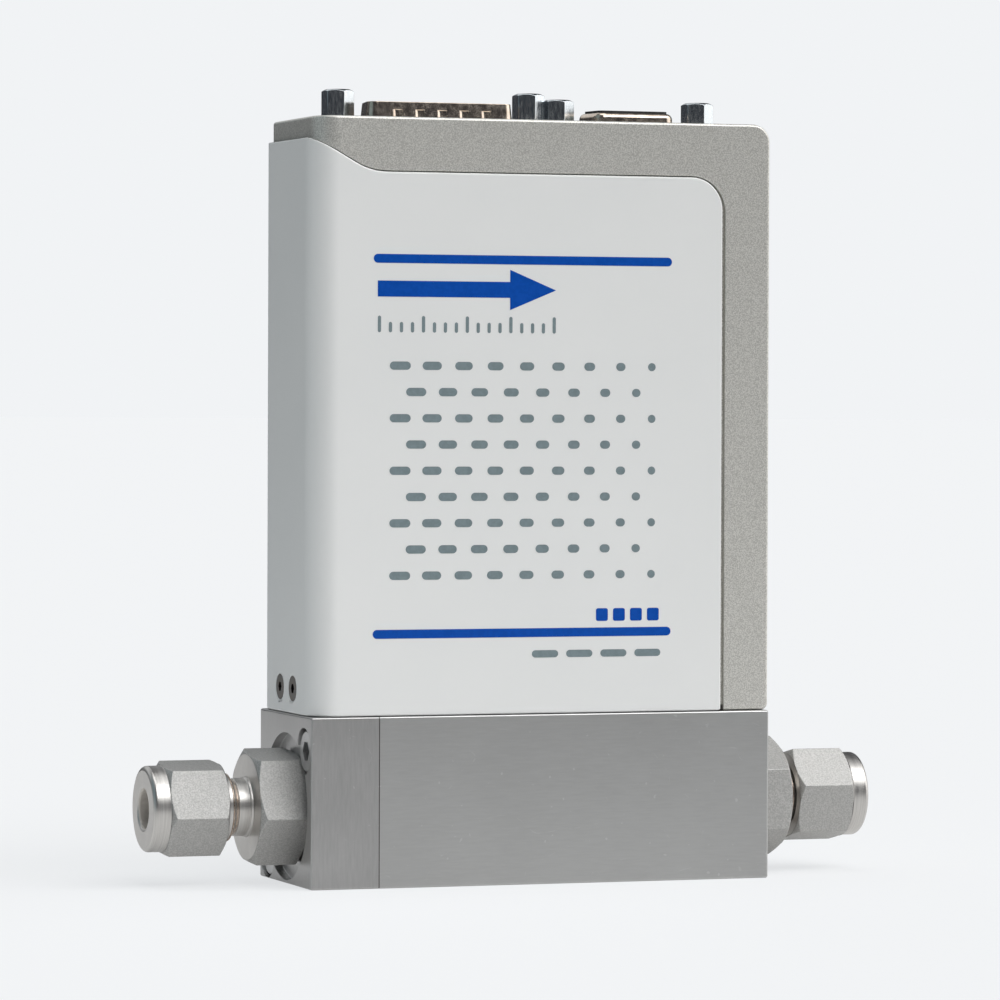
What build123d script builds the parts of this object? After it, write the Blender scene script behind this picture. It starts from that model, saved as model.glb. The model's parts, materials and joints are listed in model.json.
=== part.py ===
"""Thermal mass flow controller with quarter-inch compression fittings.

A two-piece stainless flow block carries a bypass, a capillary flow sensor and a solenoid
control valve. A cast frame and a folded sheet cover close over them, and two D-sub
connectors stand in the frame's roof. Millimetres, +Z up, X along the flow from the inlet
(-X) to the outlet (+X), origin at the centre of the block's base.
"""

from build123d import *

from math import radians, tan
import os

# ---- driving dimensions -------------------------------------------------------------
# flow block, 1.125 in wide and 79.9 mm face to face
BLOCK_L = 79.9
BLOCK_W = 28.6
BLOCK_H = 28.0
INLET_L = 11.6
EDGE_BREAK = 0.2
AXIS_Z = 12.7
END = BLOCK_L / 2
JOINT_X = -END + INLET_L

# recess and port for each tube fitting
RECESS_R = 12.1
RECESS_D = 1.5
PORT_R = 5.55
PORT_END = 30.2
SEAL_R = 7.3
FLOW_R = 2.4

# bypass chamber bored from the joint face
CHAMBER_R = 6.5
CHAMBER_END = 3.0
FLANGE_R = 8.0
FLANGE_T = 1.5
GASKET_R = (8.8, 10.2)
GASKET_T = 1.0

# screws that clamp the inlet block, on one diagonal
CLAMP_AT = ((-10.1, 22.3), (10.1, 3.9))
CLAMP_HEAD_R = 3.5
CLAMP_HEAD_H = 4.0
CLAMP_SINK = 4.4

# tapped holes in the base, M4 tap drill
BASE_MID_X = 8.0
BASE_PITCH_X = 40.0
BASE_PITCH_Y = 21.0
BASE_TAP_R = 1.65
BASE_TAP_D = 8.0

# housing
TOP_Z = 125.6
FOOT_GAP = 0.12
CASE_HALF = 14.0
CASE_LEFT = -39.1
CASE_RIGHT = 39.9
ROOF_T = 1.7
WALL_T = 1.9
CORNER_R = 4.2
CROWN_R = 3.0
CROWN_BREAK = 0.5

# sheet cover
SHEET_T = 1.0
BEND_R = 4.5
COVER_RIGHT = 31.35
COVER_TOP = 116.6
SHOULDER_Z = 122.35
SHOULDER_X = -40.2
SHOULDER_SLOPE = 29.5
SHOULDER_R = 3.0
SWEEP_R = 11.0
COVER_CORNER_R = 5.4
ROOF_SEAM = 0.2
SIDE_SEAM = 0.6
LIP = 3.0

# tube fittings: distances are from the middle of the block along the flow axis
NUT_AF = 14.2875
NUT_HEX_L = 9.9
NUT_L = 12.8
INLET_NUT = 51.4
OUTLET_NUT = 48.7
COLLAR_R = 7.05
COLLAR_ROUND = 0.8
BODY_AF = 17.4625
BODY_END = 46.75
TUBE_R = 3.2
MOUTH_BREAK = 0.4
THREAD_R = 5.45
NECK_R = 4.75
SOCKET_END = 47.6
CONE_START = 51.8
CONE_END = 54.3
CONE_TAPER = 0.4
SHANK_R = 5.45
SHANK_END = 30.5

# sensor
SENSOR_X = -14.0
LEG_PITCH = 12.0
SENSOR_BASE = (26.6, 15.0, 8.0)
SENSOR_SCREWS = (22.6, 10.0)
SENSOR_TUBE_R = 0.5
SENSOR_BORE_R = 0.32
SENSOR_TOP = 51.0
SENSOR_BEND = 3.0
SENSOR_CAN = (17.4, 12.0, 22.0)
SENSOR_CAN_WALL = 1.5

# control valve
VALVE_X = 20.0
CAVITY_R = 6.0
CAVITY_FLOOR = 16.0
ORIFICE_T = 3.0
SEAT_Z = 19.6
PLUNGER_R = 3.9
SLEEVE_R = 4.0
PLUNGER_TOP = 45.0
VALVE_LIFT = 0.3
STEM_R = 5.0
STEM_FLANGE = (19.0, 23.8, 3.0)
VALVE_SCREWS = (11.0, 19.2)
STEM_TOP = 64.0
STUD_R = 3.0
STUD_TOP = 70.0
YOKE_T = 1.5
YOKE_HALF = 10.5
YOKE_DEPTH = 14.0
COIL_R = 8.5

# circuit boards
PCB_T = 1.6
BOARD_Y = 10.2
BOARD_TOP = 112.5
BOARD_LEFT = -36.0
BOARD_RIGHT = 37.0
MAIN_BOTTOM = 40.0
BOSS_LEFT = 24.0
BOARD_SCREW_X = 26.2
BOSS_ZS = (74.0, 104.0)
BRACKET_T = 1.2
BRACKET_SCREWS = ((-33.4, -4.5), (-33.4, 4.5))
FOOT_START = 30.4
FOOT_T = 3.0
FOOT_SCREWS = ((33.9, -7.0), (33.9, 7.0))

# connectors: centre X, hole pitch, shell width at its wide side, pins in the two rows
PLUG_X = -14.6
PLUG_PITCH = 33.32
PLUG_W = 26.3
PLUG_D = 9.3
PLUG_RISE = 3.0
PLUG_DRAFT = 0.4
PLUG_POST_H = 5.0
SOCKET_X = 19.77
SOCKET_PITCH = 24.99
SOCKET_W = 16.33
SOCKET_D = 7.9
SOCKET_RISE = 2.05
SOCKET_LIP = 0.6
SOCKET_PROUD = 0.35
SOCKET_POST_H = 4.1
DSUB_SLOPE = 10.0
DSUB_CORNER = 2.0
SHELL_T = 0.5
INSULATOR_GAP = 0.05
FLANGE_W = 12.5
FLANGE_OVER = 2.55
CUTOUT_GAP = 0.3
PIN_PITCH = 2.77
ROW_PITCH = 2.84
PLUG_PIN_R = 0.5
SOCKET_TUBE_R = 0.75
DIMPLE_PITCH = 3.85
DIMPLE_W = 1.7
DIMPLE_H = 1.4
DIMPLE_Z = 1.0
DIMPLE_FLOOR = 0.4
POST_AF = 4.76
POST_TURN = 34.7
POST_TAP_R = 1.1
POST_STUD_R = 1.35

os.makedirs("parts", exist_ok=True)


def save(part, name):
    """Label one finished piece and write it as its own file."""
    part.label = name
    export_step(part, f"parts/{name}.step")


def flow_section(side):
    """Plane through the flow axis: local x runs out of the block, local y is up."""
    return Plane(origin=(0, 0, AXIS_Z), x_dir=(side, 0, 0), z_dir=(0, -side, 0))


def flow_face(side, distance):
    """Plane across the flow axis, facing out of the block."""
    return Plane(origin=(side * distance, 0, AXIS_Z), x_dir=(0, 1, 0), z_dir=(side, 0, 0))


def upright(x, y, z):
    """Horizontal plane at one place."""
    return Plane(origin=(x, y, z))


FLOW_AXIS = Axis((0, 0, AXIS_Z), (1, 0, 0))
JOINT_FACE = Plane(origin=(JOINT_X, 0, 0), x_dir=(0, 1, 0), z_dir=(1, 0, 0))
LEFT_FACE = Plane(origin=(-END, 0, 0), x_dir=(0, 1, 0), z_dir=(1, 0, 0))
SENSOR_LEGS = (SENSOR_X - LEG_PITCH / 2, SENSOR_X + LEG_PITCH / 2)


# ---- flow block ---------------------------------------------------------------------
def fitting_port(side):
    """Recess, seal pocket and threaded port bored into one end face."""
    with BuildPart(mode=Mode.PRIVATE) as port:
        with BuildSketch(flow_face(side, END - RECESS_D)):
            Circle(RECESS_R)
        extrude(amount=RECESS_D + 1)
        with BuildSketch(flow_face(side, END - RECESS_D - 1.2)):
            Circle(SEAL_R)
        extrude(amount=2)
        with BuildSketch(flow_face(side, PORT_END)):
            Circle(PORT_R)
        extrude(amount=END - PORT_END)
    return port.part


inlet_port = fitting_port(-1)
outlet_port = fitting_port(1)

with BuildPart() as main_block:
    with BuildSketch(Plane.XY):
        with Locations(((JOINT_X + END) / 2, 0)):
            Rectangle(END - JOINT_X, BLOCK_W)
    extrude(amount=BLOCK_H)
    outer = main_block.edges().filter_by(Axis.X) + main_block.faces().sort_by(Axis.X)[-1].edges()
    chamfer(outer, EDGE_BREAK)
    add(outlet_port, mode=Mode.SUBTRACT)
    with BuildSketch(JOINT_FACE):
        with Locations((0, AXIS_Z)):
            Circle(CHAMBER_R)
    extrude(amount=CHAMBER_END - JOINT_X, mode=Mode.SUBTRACT)
    with BuildSketch(JOINT_FACE):
        with Locations((0, AXIS_Z)):
            Circle(FLANGE_R + 0.1)
    extrude(amount=FLANGE_T, mode=Mode.SUBTRACT)
    with BuildSketch(JOINT_FACE):
        with Locations((0, AXIS_Z)):
            Circle(GASKET_R[1])
            Circle(GASKET_R[0], mode=Mode.SUBTRACT)
    extrude(amount=GASKET_T, mode=Mode.SUBTRACT)
    with BuildSketch(JOINT_FACE):
        with Locations(*CLAMP_AT):
            Circle(2.0)
    extrude(amount=10, mode=Mode.SUBTRACT)
    # supply way to the valve, and the way from the valve's cavity to the outlet
    with BuildSketch(Plane(origin=(CHAMBER_END, 0, AXIS_Z), x_dir=(0, 1, 0), z_dir=(1, 0, 0))):
        Circle(2.0)
    extrude(amount=VALVE_X + 2 - CHAMBER_END, mode=Mode.SUBTRACT)
    with BuildSketch(upright(VALVE_X, 0, AXIS_Z)):
        Circle(2.0)
    extrude(amount=CAVITY_FLOOR - AXIS_Z, mode=Mode.SUBTRACT)
    with BuildSketch(upright(VALVE_X, 0, CAVITY_FLOOR)):
        Circle(CAVITY_R)
    extrude(amount=BLOCK_H - CAVITY_FLOOR, mode=Mode.SUBTRACT)
    with BuildSketch(upright(VALVE_X, 0, BLOCK_H - 1.2)):
        Circle(CAVITY_R + 1.5)
    extrude(amount=1.2, mode=Mode.SUBTRACT)
    with BuildSketch(Plane(origin=(PORT_END - 1.2, 0, AXIS_Z), z_dir=(-3.6, 0, 8.6), x_dir=(0, 1, 0))):
        Circle(1.3)
    extrude(amount=9.6, mode=Mode.SUBTRACT)
    with BuildSketch(flow_face(1, PORT_END - 2.6)):
        Circle(FLOW_R)
    extrude(amount=2.6, mode=Mode.SUBTRACT)
    # sensor ways with seal pockets
    for leg_x in SENSOR_LEGS:
        with BuildSketch(upright(leg_x, 0, AXIS_Z)):
            Circle(0.8)
        extrude(amount=BLOCK_H - AXIS_Z, mode=Mode.SUBTRACT)
        with BuildSketch(upright(leg_x, 0, BLOCK_H - 0.8)):
            Circle(2.4)
        extrude(amount=0.8, mode=Mode.SUBTRACT)
    # tapped holes: sensor base, valve flange and frame foot in the roof, mounting in the base
    with BuildSketch(upright(0, 0, BLOCK_H)):
        with Locations((SENSOR_X, 0)):
            with GridLocations(*SENSOR_SCREWS, 2, 2):
                Circle(1.25)
        with Locations((VALVE_X, 0)):
            with GridLocations(*VALVE_SCREWS, 2, 2):
                Circle(1.25)
        with Locations(*FOOT_SCREWS):
            Circle(1.5)
    extrude(amount=-5.5, mode=Mode.SUBTRACT)
    with BuildSketch(Plane.XY):
        with Locations((BASE_MID_X, 0)):
            with GridLocations(BASE_PITCH_X, BASE_PITCH_Y, 2, 2):
                Circle(BASE_TAP_R)
    extrude(amount=BASE_TAP_D, mode=Mode.SUBTRACT)
save(main_block.part, "main_block")

with BuildPart() as inlet_block:
    with BuildSketch(Plane.XY):
        with Locations(((JOINT_X - END) / 2, 0)):
            Rectangle(INLET_L, BLOCK_W)
    extrude(amount=BLOCK_H)
    outer = inlet_block.edges().filter_by(Axis.X) + inlet_block.faces().sort_by(Axis.X)[0].edges()
    chamfer(outer, EDGE_BREAK)
    add(inlet_port, mode=Mode.SUBTRACT)
    with BuildSketch(JOINT_FACE):
        with Locations((0, AXIS_Z)):
            Circle(CHAMBER_R - 0.5)
    extrude(amount=-0.9, mode=Mode.SUBTRACT)
    with BuildSketch(JOINT_FACE):
        with Locations((0, AXIS_Z)):
            Circle(FLOW_R)
    extrude(amount=-3, mode=Mode.SUBTRACT)
    with BuildSketch(LEFT_FACE):
        with Locations(*CLAMP_AT):
            Circle(CLAMP_HEAD_R + 0.3)
    extrude(amount=CLAMP_SINK, mode=Mode.SUBTRACT)
    with BuildSketch(LEFT_FACE):
        with Locations(*CLAMP_AT):
            Circle(2.2)
    extrude(amount=INLET_L, mode=Mode.SUBTRACT)
    with BuildSketch(upright(0, 0, BLOCK_H)):
        with Locations(*BRACKET_SCREWS):
            Circle(1.25)
    extrude(amount=-4.5, mode=Mode.SUBTRACT)
save(inlet_block.part, "inlet_block")


def socket_screw(plane, thread_r, length, head_r, head_h, key_af):
    """Socket-head cap screw: the plane is the seat, its normal points out of the head."""
    with BuildPart() as screw:
        with BuildSketch(plane):
            Circle(head_r)
        extrude(amount=head_h)
        chamfer(screw.faces().sort_by(Axis(plane.origin, plane.z_dir))[-1].edges(), head_r * 0.1)
        with BuildSketch(plane.offset(head_h)):
            RegularPolygon(key_af / 2, 6, major_radius=False)
        extrude(amount=-head_h * 0.55, mode=Mode.SUBTRACT)
        with BuildSketch(plane):
            Circle(thread_r)
        extrude(amount=-length)
    return screw.part


def screw_set(planes, *dims):
    """Like screws that share one node."""
    return Compound(children=[socket_screw(plane, *dims) for plane in planes])


clamp_seats = [
    Plane(origin=(-END + CLAMP_SINK, y, z), x_dir=(0, 1, 0), z_dir=(-1, 0, 0)) for y, z in CLAMP_AT
]
save(screw_set(clamp_seats, 1.95, 16, CLAMP_HEAD_R, CLAMP_HEAD_H, 3.0), "inlet_block_screws")

with BuildPart() as block_seal:
    with BuildSketch(JOINT_FACE):
        with Locations((0, AXIS_Z)):
            Circle(GASKET_R[1] - 0.1)
            Circle(GASKET_R[0] + 0.1, mode=Mode.SUBTRACT)
    extrude(amount=GASKET_T)
save(block_seal.part, "block_seal")

# ---- laminar flow bypass ------------------------------------------------------------
RESTRICTOR_R = CHAMBER_R - 0.05
with BuildPart() as bypass_element:
    with BuildSketch(JOINT_FACE):
        with Locations((0, AXIS_Z)):
            Circle(FLANGE_R)
            with PolarLocations(4.4, 6):
                Circle(1.1, mode=Mode.SUBTRACT)
    extrude(amount=FLANGE_T)
    with BuildSketch(JOINT_FACE.offset(FLANGE_T)):
        with Locations((0, AXIS_Z)):
            Circle(2.2)
    extrude(amount=9)
    with BuildSketch(JOINT_FACE.offset(10.4)):
        with Locations((0, AXIS_Z)):
            Circle(RESTRICTOR_R)
            with PolarLocations(RESTRICTOR_R, 12):
                Rectangle(2.4, 0.7, mode=Mode.SUBTRACT)
    extrude(amount=7)
save(bypass_element.part, "bypass_element")


# ---- compression tube fittings ------------------------------------------------------
def turned(side, *outline):
    """Ring turned about the flow axis from its half section in (distance, radius)."""
    with BuildPart() as ring:
        with BuildSketch(flow_section(side)):
            with BuildLine():
                Polyline(*outline, close=True)
            make_face()
        revolve(axis=FLOW_AXIS)
    return ring.part


def hexagon(side, start, end, across_flats, turn):
    """Hexagonal bar along the flow axis with its corners bevelled at both ends."""
    corner = across_flats / 1.732 + 0.01
    flat = across_flats / 2 - 0.05
    bevel = (corner - flat) * tan(radians(30))
    with BuildPart() as bar:
        with BuildSketch(flow_face(side, start)):
            RegularPolygon(across_flats / 2, 6, major_radius=False, rotation=turn)
        extrude(amount=end - start)
        with BuildSketch(flow_section(side)):
            with BuildLine():
                Polyline((start, 0), (start, flat), (start + bevel, corner), (end - bevel, corner),
                         (end, flat), (end, 0), close=True)
            make_face()
        revolve(axis=FLOW_AXIS, mode=Mode.INTERSECT)
    return bar.part


def fitting_body(side, turn):
    """Port body: hexagon, neck, thread stub with the ferrule cone, and threaded shank."""
    mouth_r = TUBE_R + CONE_TAPER * (CONE_END - CONE_START)
    seat = END - RECESS_D
    shaft = turned(
        side, (SHANK_END, FLOW_R), (SHANK_END, SHANK_R), (seat, SHANK_R), (BODY_END, SHANK_R),
        (BODY_END, NECK_R + 0.2), (BODY_END + 0.4, NECK_R + 0.2), (BODY_END + 0.5, NECK_R),
        (49.1, NECK_R), (49.2, NECK_R - 0.25), (49.5, NECK_R - 0.25), (49.6, NECK_R),
        (50.2, THREAD_R), (CONE_END, THREAD_R), (CONE_END, mouth_r), (CONE_START, TUBE_R),
        (SOCKET_END, TUBE_R), (SOCKET_END, FLOW_R))
    bore = turned(side, (seat - 1, 0), (seat - 1, SHANK_R - 1), (BODY_END + 1, SHANK_R - 1),
                  (BODY_END + 1, 0))
    with BuildPart() as body:
        add(hexagon(side, seat, BODY_END, BODY_AF, turn))
        add(bore, mode=Mode.SUBTRACT)
        add(shaft)
    return body.part


def tube_nut(side, start, turn):
    """Union nut: hexagon and outer collar, thread bore, ferrule seat and tube bore."""
    hex_end = start + NUT_HEX_L
    end = start + NUT_L
    room = turned(
        side, (start - 1, 0), (start - 1, THREAD_R + 0.06), (start + 7.6, THREAD_R + 0.06),
        (start + 8.0, 4.8), (start + 9.1, 4.8), (start + 9.8, TUBE_R),
        (end - MOUTH_BREAK, TUBE_R), (end, TUBE_R + MOUTH_BREAK), (end + 1, TUBE_R + MOUTH_BREAK),
        (end + 1, 0))
    with BuildPart() as nut:
        with BuildSketch(flow_face(side, hex_end - 1)):
            Circle(COLLAR_R)
        extrude(amount=end - hex_end + 1)
        fillet(nut.faces().sort_by(Axis((0, 0, AXIS_Z), (side, 0, 0)))[-1].edges(), COLLAR_ROUND)
        add(hexagon(side, start, hex_end, NUT_AF, turn))
        add(room, mode=Mode.SUBTRACT)
    return nut.part


def front_ferrule(side):
    """Tapered ring that seats in the body's cone."""
    def taper(distance):
        return TUBE_R + CONE_TAPER * (distance - CONE_START) - 0.03
    tip = CONE_START + 0.6
    step = CONE_END + 0.4
    back = CONE_END + 1.2
    return turned(side, (tip, TUBE_R), (tip, taper(tip)), (step, taper(step)), (step, 4.7),
                  (back, 4.7), (back, TUBE_R))


def back_ferrule(side):
    """Plain driving ring behind the front ferrule."""
    tip = CONE_END + 1.25
    back = tip + 2.05
    return turned(side, (tip, TUBE_R), (tip, 4.2), (tip + 0.95, 4.6), (back, 4.6), (back, TUBE_R))


def port_seal(side):
    """Seal ring in the pocket under the body's hexagon."""
    floor = END - RECESS_D - 1.2
    return turned(side, (floor, PORT_R + 0.05), (floor, SEAL_R - 0.15),
                  (floor + 1.2, SEAL_R - 0.15), (floor + 1.2, PORT_R + 0.05))


FITTINGS = (("inlet", -1, 51.5, INLET_NUT, 51.5), ("outlet", 1, 30.5, OUTLET_NUT, 46.0))
for end_name, side, body_turn, nut_start, nut_turn in FITTINGS:
    save(fitting_body(side, body_turn), f"{end_name}_fitting_body")
    save(tube_nut(side, nut_start, nut_turn), f"{end_name}_tube_nut")
    save(front_ferrule(side), f"{end_name}_front_ferrule")
    save(back_ferrule(side), f"{end_name}_back_ferrule")
    save(port_seal(side), f"{end_name}_port_seal")

# ---- flow sensor --------------------------------------------------------------------
SENSOR_SEAT = BLOCK_H + SENSOR_BASE[2]
with BuildPart() as sensor_base:
    with BuildSketch(upright(SENSOR_X, 0, BLOCK_H)):
        RectangleRounded(SENSOR_BASE[0], SENSOR_BASE[1], 2)
        with Locations((-LEG_PITCH / 2, 0), (LEG_PITCH / 2, 0)):
            Circle(SENSOR_TUBE_R + 0.02, mode=Mode.SUBTRACT)
        with GridLocations(*SENSOR_SCREWS, 2, 2):
            Circle(1.4, mode=Mode.SUBTRACT)
    extrude(amount=SENSOR_BASE[2])
    with BuildSketch(upright(SENSOR_X, 0, SENSOR_SEAT)):
        with GridLocations(*SENSOR_SCREWS, 2, 2):
            Circle(2.4)
    extrude(amount=-3, mode=Mode.SUBTRACT)
save(sensor_base.part, "sensor_base")

sensor_screw_seats = [
    upright(SENSOR_X + dx * SENSOR_SCREWS[0] / 2, dy * SENSOR_SCREWS[1] / 2, SENSOR_SEAT - 3)
    for dx in (-1, 1) for dy in (-1, 1)
]
save(screw_set(sensor_screw_seats, 1.2, 9.5, 2.25, 2.5, 2.0), "sensor_screws")

with BuildPart() as sensor_seals:
    for leg_x in SENSOR_LEGS:
        with BuildSketch(upright(leg_x, 0, BLOCK_H - 0.8)):
            Circle(2.3)
            Circle(0.8, mode=Mode.SUBTRACT)
        extrude(amount=0.8)
save(sensor_seals.part, "sensor_seals")

with BuildPart() as sensor_tube:
    with BuildLine() as tube_route:
        FilletPolyline((SENSOR_LEGS[0], 0, BLOCK_H + 0.01), (SENSOR_LEGS[0], 0, SENSOR_TOP),
                       (SENSOR_LEGS[1], 0, SENSOR_TOP), (SENSOR_LEGS[1], 0, BLOCK_H + 0.01),
                       radius=SENSOR_BEND)
    with BuildSketch(upright(SENSOR_LEGS[0], 0, BLOCK_H + 0.01)):
        Circle(SENSOR_TUBE_R)
        Circle(SENSOR_BORE_R, mode=Mode.SUBTRACT)
    sweep()
save(sensor_tube.part, "sensor_tube")

with BuildPart() as sensor_windings:
    for start_x in (SENSOR_X - 2.8, SENSOR_X + 0.3):
        with BuildSketch(Plane(origin=(start_x, 0, SENSOR_TOP), x_dir=(0, 1, 0), z_dir=(1, 0, 0))):
            Circle(1.0)
            Circle(SENSOR_TUBE_R + 0.02, mode=Mode.SUBTRACT)
        extrude(amount=2.5)
save(sensor_windings.part, "sensor_windings")

with BuildPart() as sensor_can:
    with BuildSketch(upright(SENSOR_X, 0, SENSOR_SEAT)):
        RectangleRounded(SENSOR_CAN[0], SENSOR_CAN[1], 2)
    extrude(amount=SENSOR_CAN[2])
    with BuildSketch(upright(SENSOR_X, 0, SENSOR_SEAT)):
        RectangleRounded(SENSOR_CAN[0] - 2 * SENSOR_CAN_WALL, SENSOR_CAN[1] - 2 * SENSOR_CAN_WALL, 1)
    extrude(amount=SENSOR_CAN[2] - SENSOR_CAN_WALL, mode=Mode.SUBTRACT)
    chamfer(sensor_can.faces().sort_by(Axis.Z)[-1].edges(), 0.5)
save(sensor_can.part, "sensor_can")

# ---- control valve ------------------------------------------------------------------
with BuildPart() as valve_orifice:
    with BuildSketch(upright(VALVE_X, 0, CAVITY_FLOOR)):
        Circle(CAVITY_R - 0.05)
        Circle(0.8, mode=Mode.SUBTRACT)
    extrude(amount=ORIFICE_T)
    with BuildSketch(upright(VALVE_X, 0, CAVITY_FLOOR + ORIFICE_T)):
        Circle(1.5)
        Circle(0.8, mode=Mode.SUBTRACT)
    extrude(amount=SEAT_Z - CAVITY_FLOOR - ORIFICE_T)
save(valve_orifice.part, "valve_orifice")

SPRING_SEAT = PLUNGER_TOP - 1.5
with BuildPart() as valve_plunger:
    with BuildSketch(upright(VALVE_X, 0, SEAT_Z)):
        Circle(PLUNGER_R)
    extrude(amount=PLUNGER_TOP - SEAT_Z)
    chamfer(valve_plunger.faces().sort_by(Axis.Z)[0].edges(), 0.8)
    with BuildSketch(upright(VALVE_X, 0, SPRING_SEAT)):
        Circle(2.6)
    extrude(amount=PLUNGER_TOP - SPRING_SEAT, mode=Mode.SUBTRACT)
    # vent groove along one side lets gas past the plunger
    with BuildSketch(upright(VALVE_X, -PLUNGER_R, SEAT_Z)):
        Rectangle(1, 1.2)
    extrude(amount=PLUNGER_TOP - SEAT_Z, mode=Mode.SUBTRACT)
save(valve_plunger.part, "valve_plunger")

CORE_Z = PLUNGER_TOP + VALVE_LIFT + 0.05
POCKET_TOP = CORE_Z + 8
STEM_SEAT = BLOCK_H + STEM_FLANGE[2]
with BuildPart() as valve_stem:
    with BuildSketch(upright(VALVE_X, 0, BLOCK_H)):
        RectangleRounded(STEM_FLANGE[0], STEM_FLANGE[1], 2)
        with GridLocations(*VALVE_SCREWS, 2, 2):
            Circle(1.4, mode=Mode.SUBTRACT)
    extrude(amount=STEM_FLANGE[2])
    with BuildSketch(upright(VALVE_X, 0, BLOCK_H - 4)):
        Circle(CAVITY_R - 0.05)
    extrude(amount=4)
    with BuildSketch(upright(VALVE_X, 0, STEM_SEAT)):
        Circle(STEM_R)
    extrude(amount=STEM_TOP - STEM_SEAT)
    with BuildSketch(upright(VALVE_X, 0, STEM_TOP)):
        Circle(STUD_R)
    extrude(amount=STUD_TOP - STEM_TOP)
    with BuildSketch(upright(VALVE_X, 0, BLOCK_H - 4)):
        Circle(SLEEVE_R)
    extrude(amount=CORE_Z - BLOCK_H + 4, mode=Mode.SUBTRACT)
    with BuildSketch(upright(VALVE_X, 0, CORE_Z)):
        Circle(2.6)
    extrude(amount=POCKET_TOP - CORE_Z, mode=Mode.SUBTRACT)
save(valve_stem.part, "valve_stem")

WIRE = 0.5
SPRING_H = POCKET_TOP - SPRING_SEAT - WIRE - 0.1
with BuildPart() as valve_spring:
    with BuildLine() as coil_line:
        Helix(pitch=SPRING_H / 4, height=SPRING_H, radius=2.0,
              center=(VALVE_X, 0, SPRING_SEAT + WIRE / 2 + 0.05))
    with BuildSketch(Plane(origin=coil_line.line @ 0, x_dir=(1, 0, 0), z_dir=coil_line.line % 0)):
        Rectangle(WIRE, WIRE * 0.8)
    sweep(is_frenet=True)
save(valve_spring.part, "valve_spring")

with BuildPart() as valve_seal:
    with BuildSketch(upright(VALVE_X, 0, BLOCK_H - 1.2)):
        Circle(CAVITY_R + 1.4)
        Circle(CAVITY_R + 0.02, mode=Mode.SUBTRACT)
    extrude(amount=1.2)
save(valve_seal.part, "valve_seal")

valve_screw_seats = [
    upright(VALVE_X + dx * VALVE_SCREWS[0] / 2, dy * VALVE_SCREWS[1] / 2, STEM_SEAT)
    for dx in (-1, 1) for dy in (-1, 1)
]
save(screw_set(valve_screw_seats, 1.2, 8, 2.25, 2.5, 2.0), "valve_screws")

COIL_FOOT = STEM_SEAT + YOKE_T
YOKE_TOP = STEM_TOP - 0.5
with BuildPart() as valve_yoke:
    with BuildSketch(Plane.XZ) as strap:
        with BuildLine():
            Polyline((VALVE_X + YOKE_HALF, STEM_SEAT), (VALVE_X - YOKE_HALF, STEM_SEAT),
                     (VALVE_X - YOKE_HALF, YOKE_TOP), (VALVE_X + YOKE_HALF, YOKE_TOP),
                     (VALVE_X + YOKE_HALF, YOKE_TOP - YOKE_T),
                     (VALVE_X - YOKE_HALF + YOKE_T, YOKE_TOP - YOKE_T),
                     (VALVE_X - YOKE_HALF + YOKE_T, COIL_FOOT), (VALVE_X + YOKE_HALF, COIL_FOOT),
                     close=True)
        make_face()
        bends = strap.vertices().filter_by(lambda v: v.X < VALVE_X - YOKE_HALF + 0.1)
        fillet(bends, 2)
    extrude(amount=YOKE_DEPTH / 2, both=True)
    with BuildSketch(upright(VALVE_X, 0, STEM_SEAT)):
        Circle(STEM_R + 0.1)
    extrude(amount=YOKE_TOP - STEM_SEAT, mode=Mode.SUBTRACT)
save(valve_yoke.part, "valve_yoke")

with BuildPart() as valve_bobbin:
    with BuildSketch(upright(VALVE_X, 0, COIL_FOOT)):
        Circle(COIL_R)
    extrude(amount=YOKE_TOP - YOKE_T - COIL_FOOT)
    with BuildSketch(upright(VALVE_X, 0, COIL_FOOT + 1.5)):
        Circle(COIL_R)
        Circle(STEM_R + 1.2, mode=Mode.SUBTRACT)
    extrude(amount=YOKE_TOP - YOKE_T - COIL_FOOT - 3, mode=Mode.SUBTRACT)
    with BuildSketch(upright(VALVE_X, 0, COIL_FOOT)):
        Circle(STEM_R + 0.1)
    extrude(amount=YOKE_TOP - COIL_FOOT, mode=Mode.SUBTRACT)
save(valve_bobbin.part, "valve_bobbin")

with BuildPart() as valve_winding:
    with BuildSketch(upright(VALVE_X, 0, COIL_FOOT + 1.6)):
        Circle(COIL_R - 0.5)
        Circle(STEM_R + 1.25, mode=Mode.SUBTRACT)
    extrude(amount=YOKE_TOP - YOKE_T - COIL_FOOT - 3.2)
save(valve_winding.part, "valve_winding")

with BuildPart() as valve_nut:
    with BuildSketch(upright(VALVE_X, 0, STEM_TOP)):
        RegularPolygon(5, 6, major_radius=False)
        Circle(STUD_R + 0.05, mode=Mode.SUBTRACT)
    extrude(amount=4)
save(valve_nut.part, "valve_nut")

# ---- sheet cover --------------------------------------------------------------------
SLOPE_RUN = (SHOULDER_Z - COVER_TOP) / tan(radians(SHOULDER_SLOPE))


def seam_outline(roof_gap, side_gap, floor_z, corner_r):
    """Edge line of the cover, moved out by the seam gaps and closed well outside the case."""
    left = -END - 10
    points = [(left, SHOULDER_Z + roof_gap), (SHOULDER_X, SHOULDER_Z + roof_gap),
              (SHOULDER_X + SLOPE_RUN, COVER_TOP + roof_gap),
              (COVER_RIGHT + side_gap, COVER_TOP + roof_gap), (COVER_RIGHT + side_gap, floor_z)]
    with BuildSketch(Plane.XZ, mode=Mode.PRIVATE) as outline:
        with BuildLine():
            FilletPolyline(*points, radius=[SHOULDER_R, SWEEP_R, corner_r])
            Polyline((COVER_RIGHT + side_gap, floor_z), (left, floor_z), points[0])
        make_face()
    return outline.sketch


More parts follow.
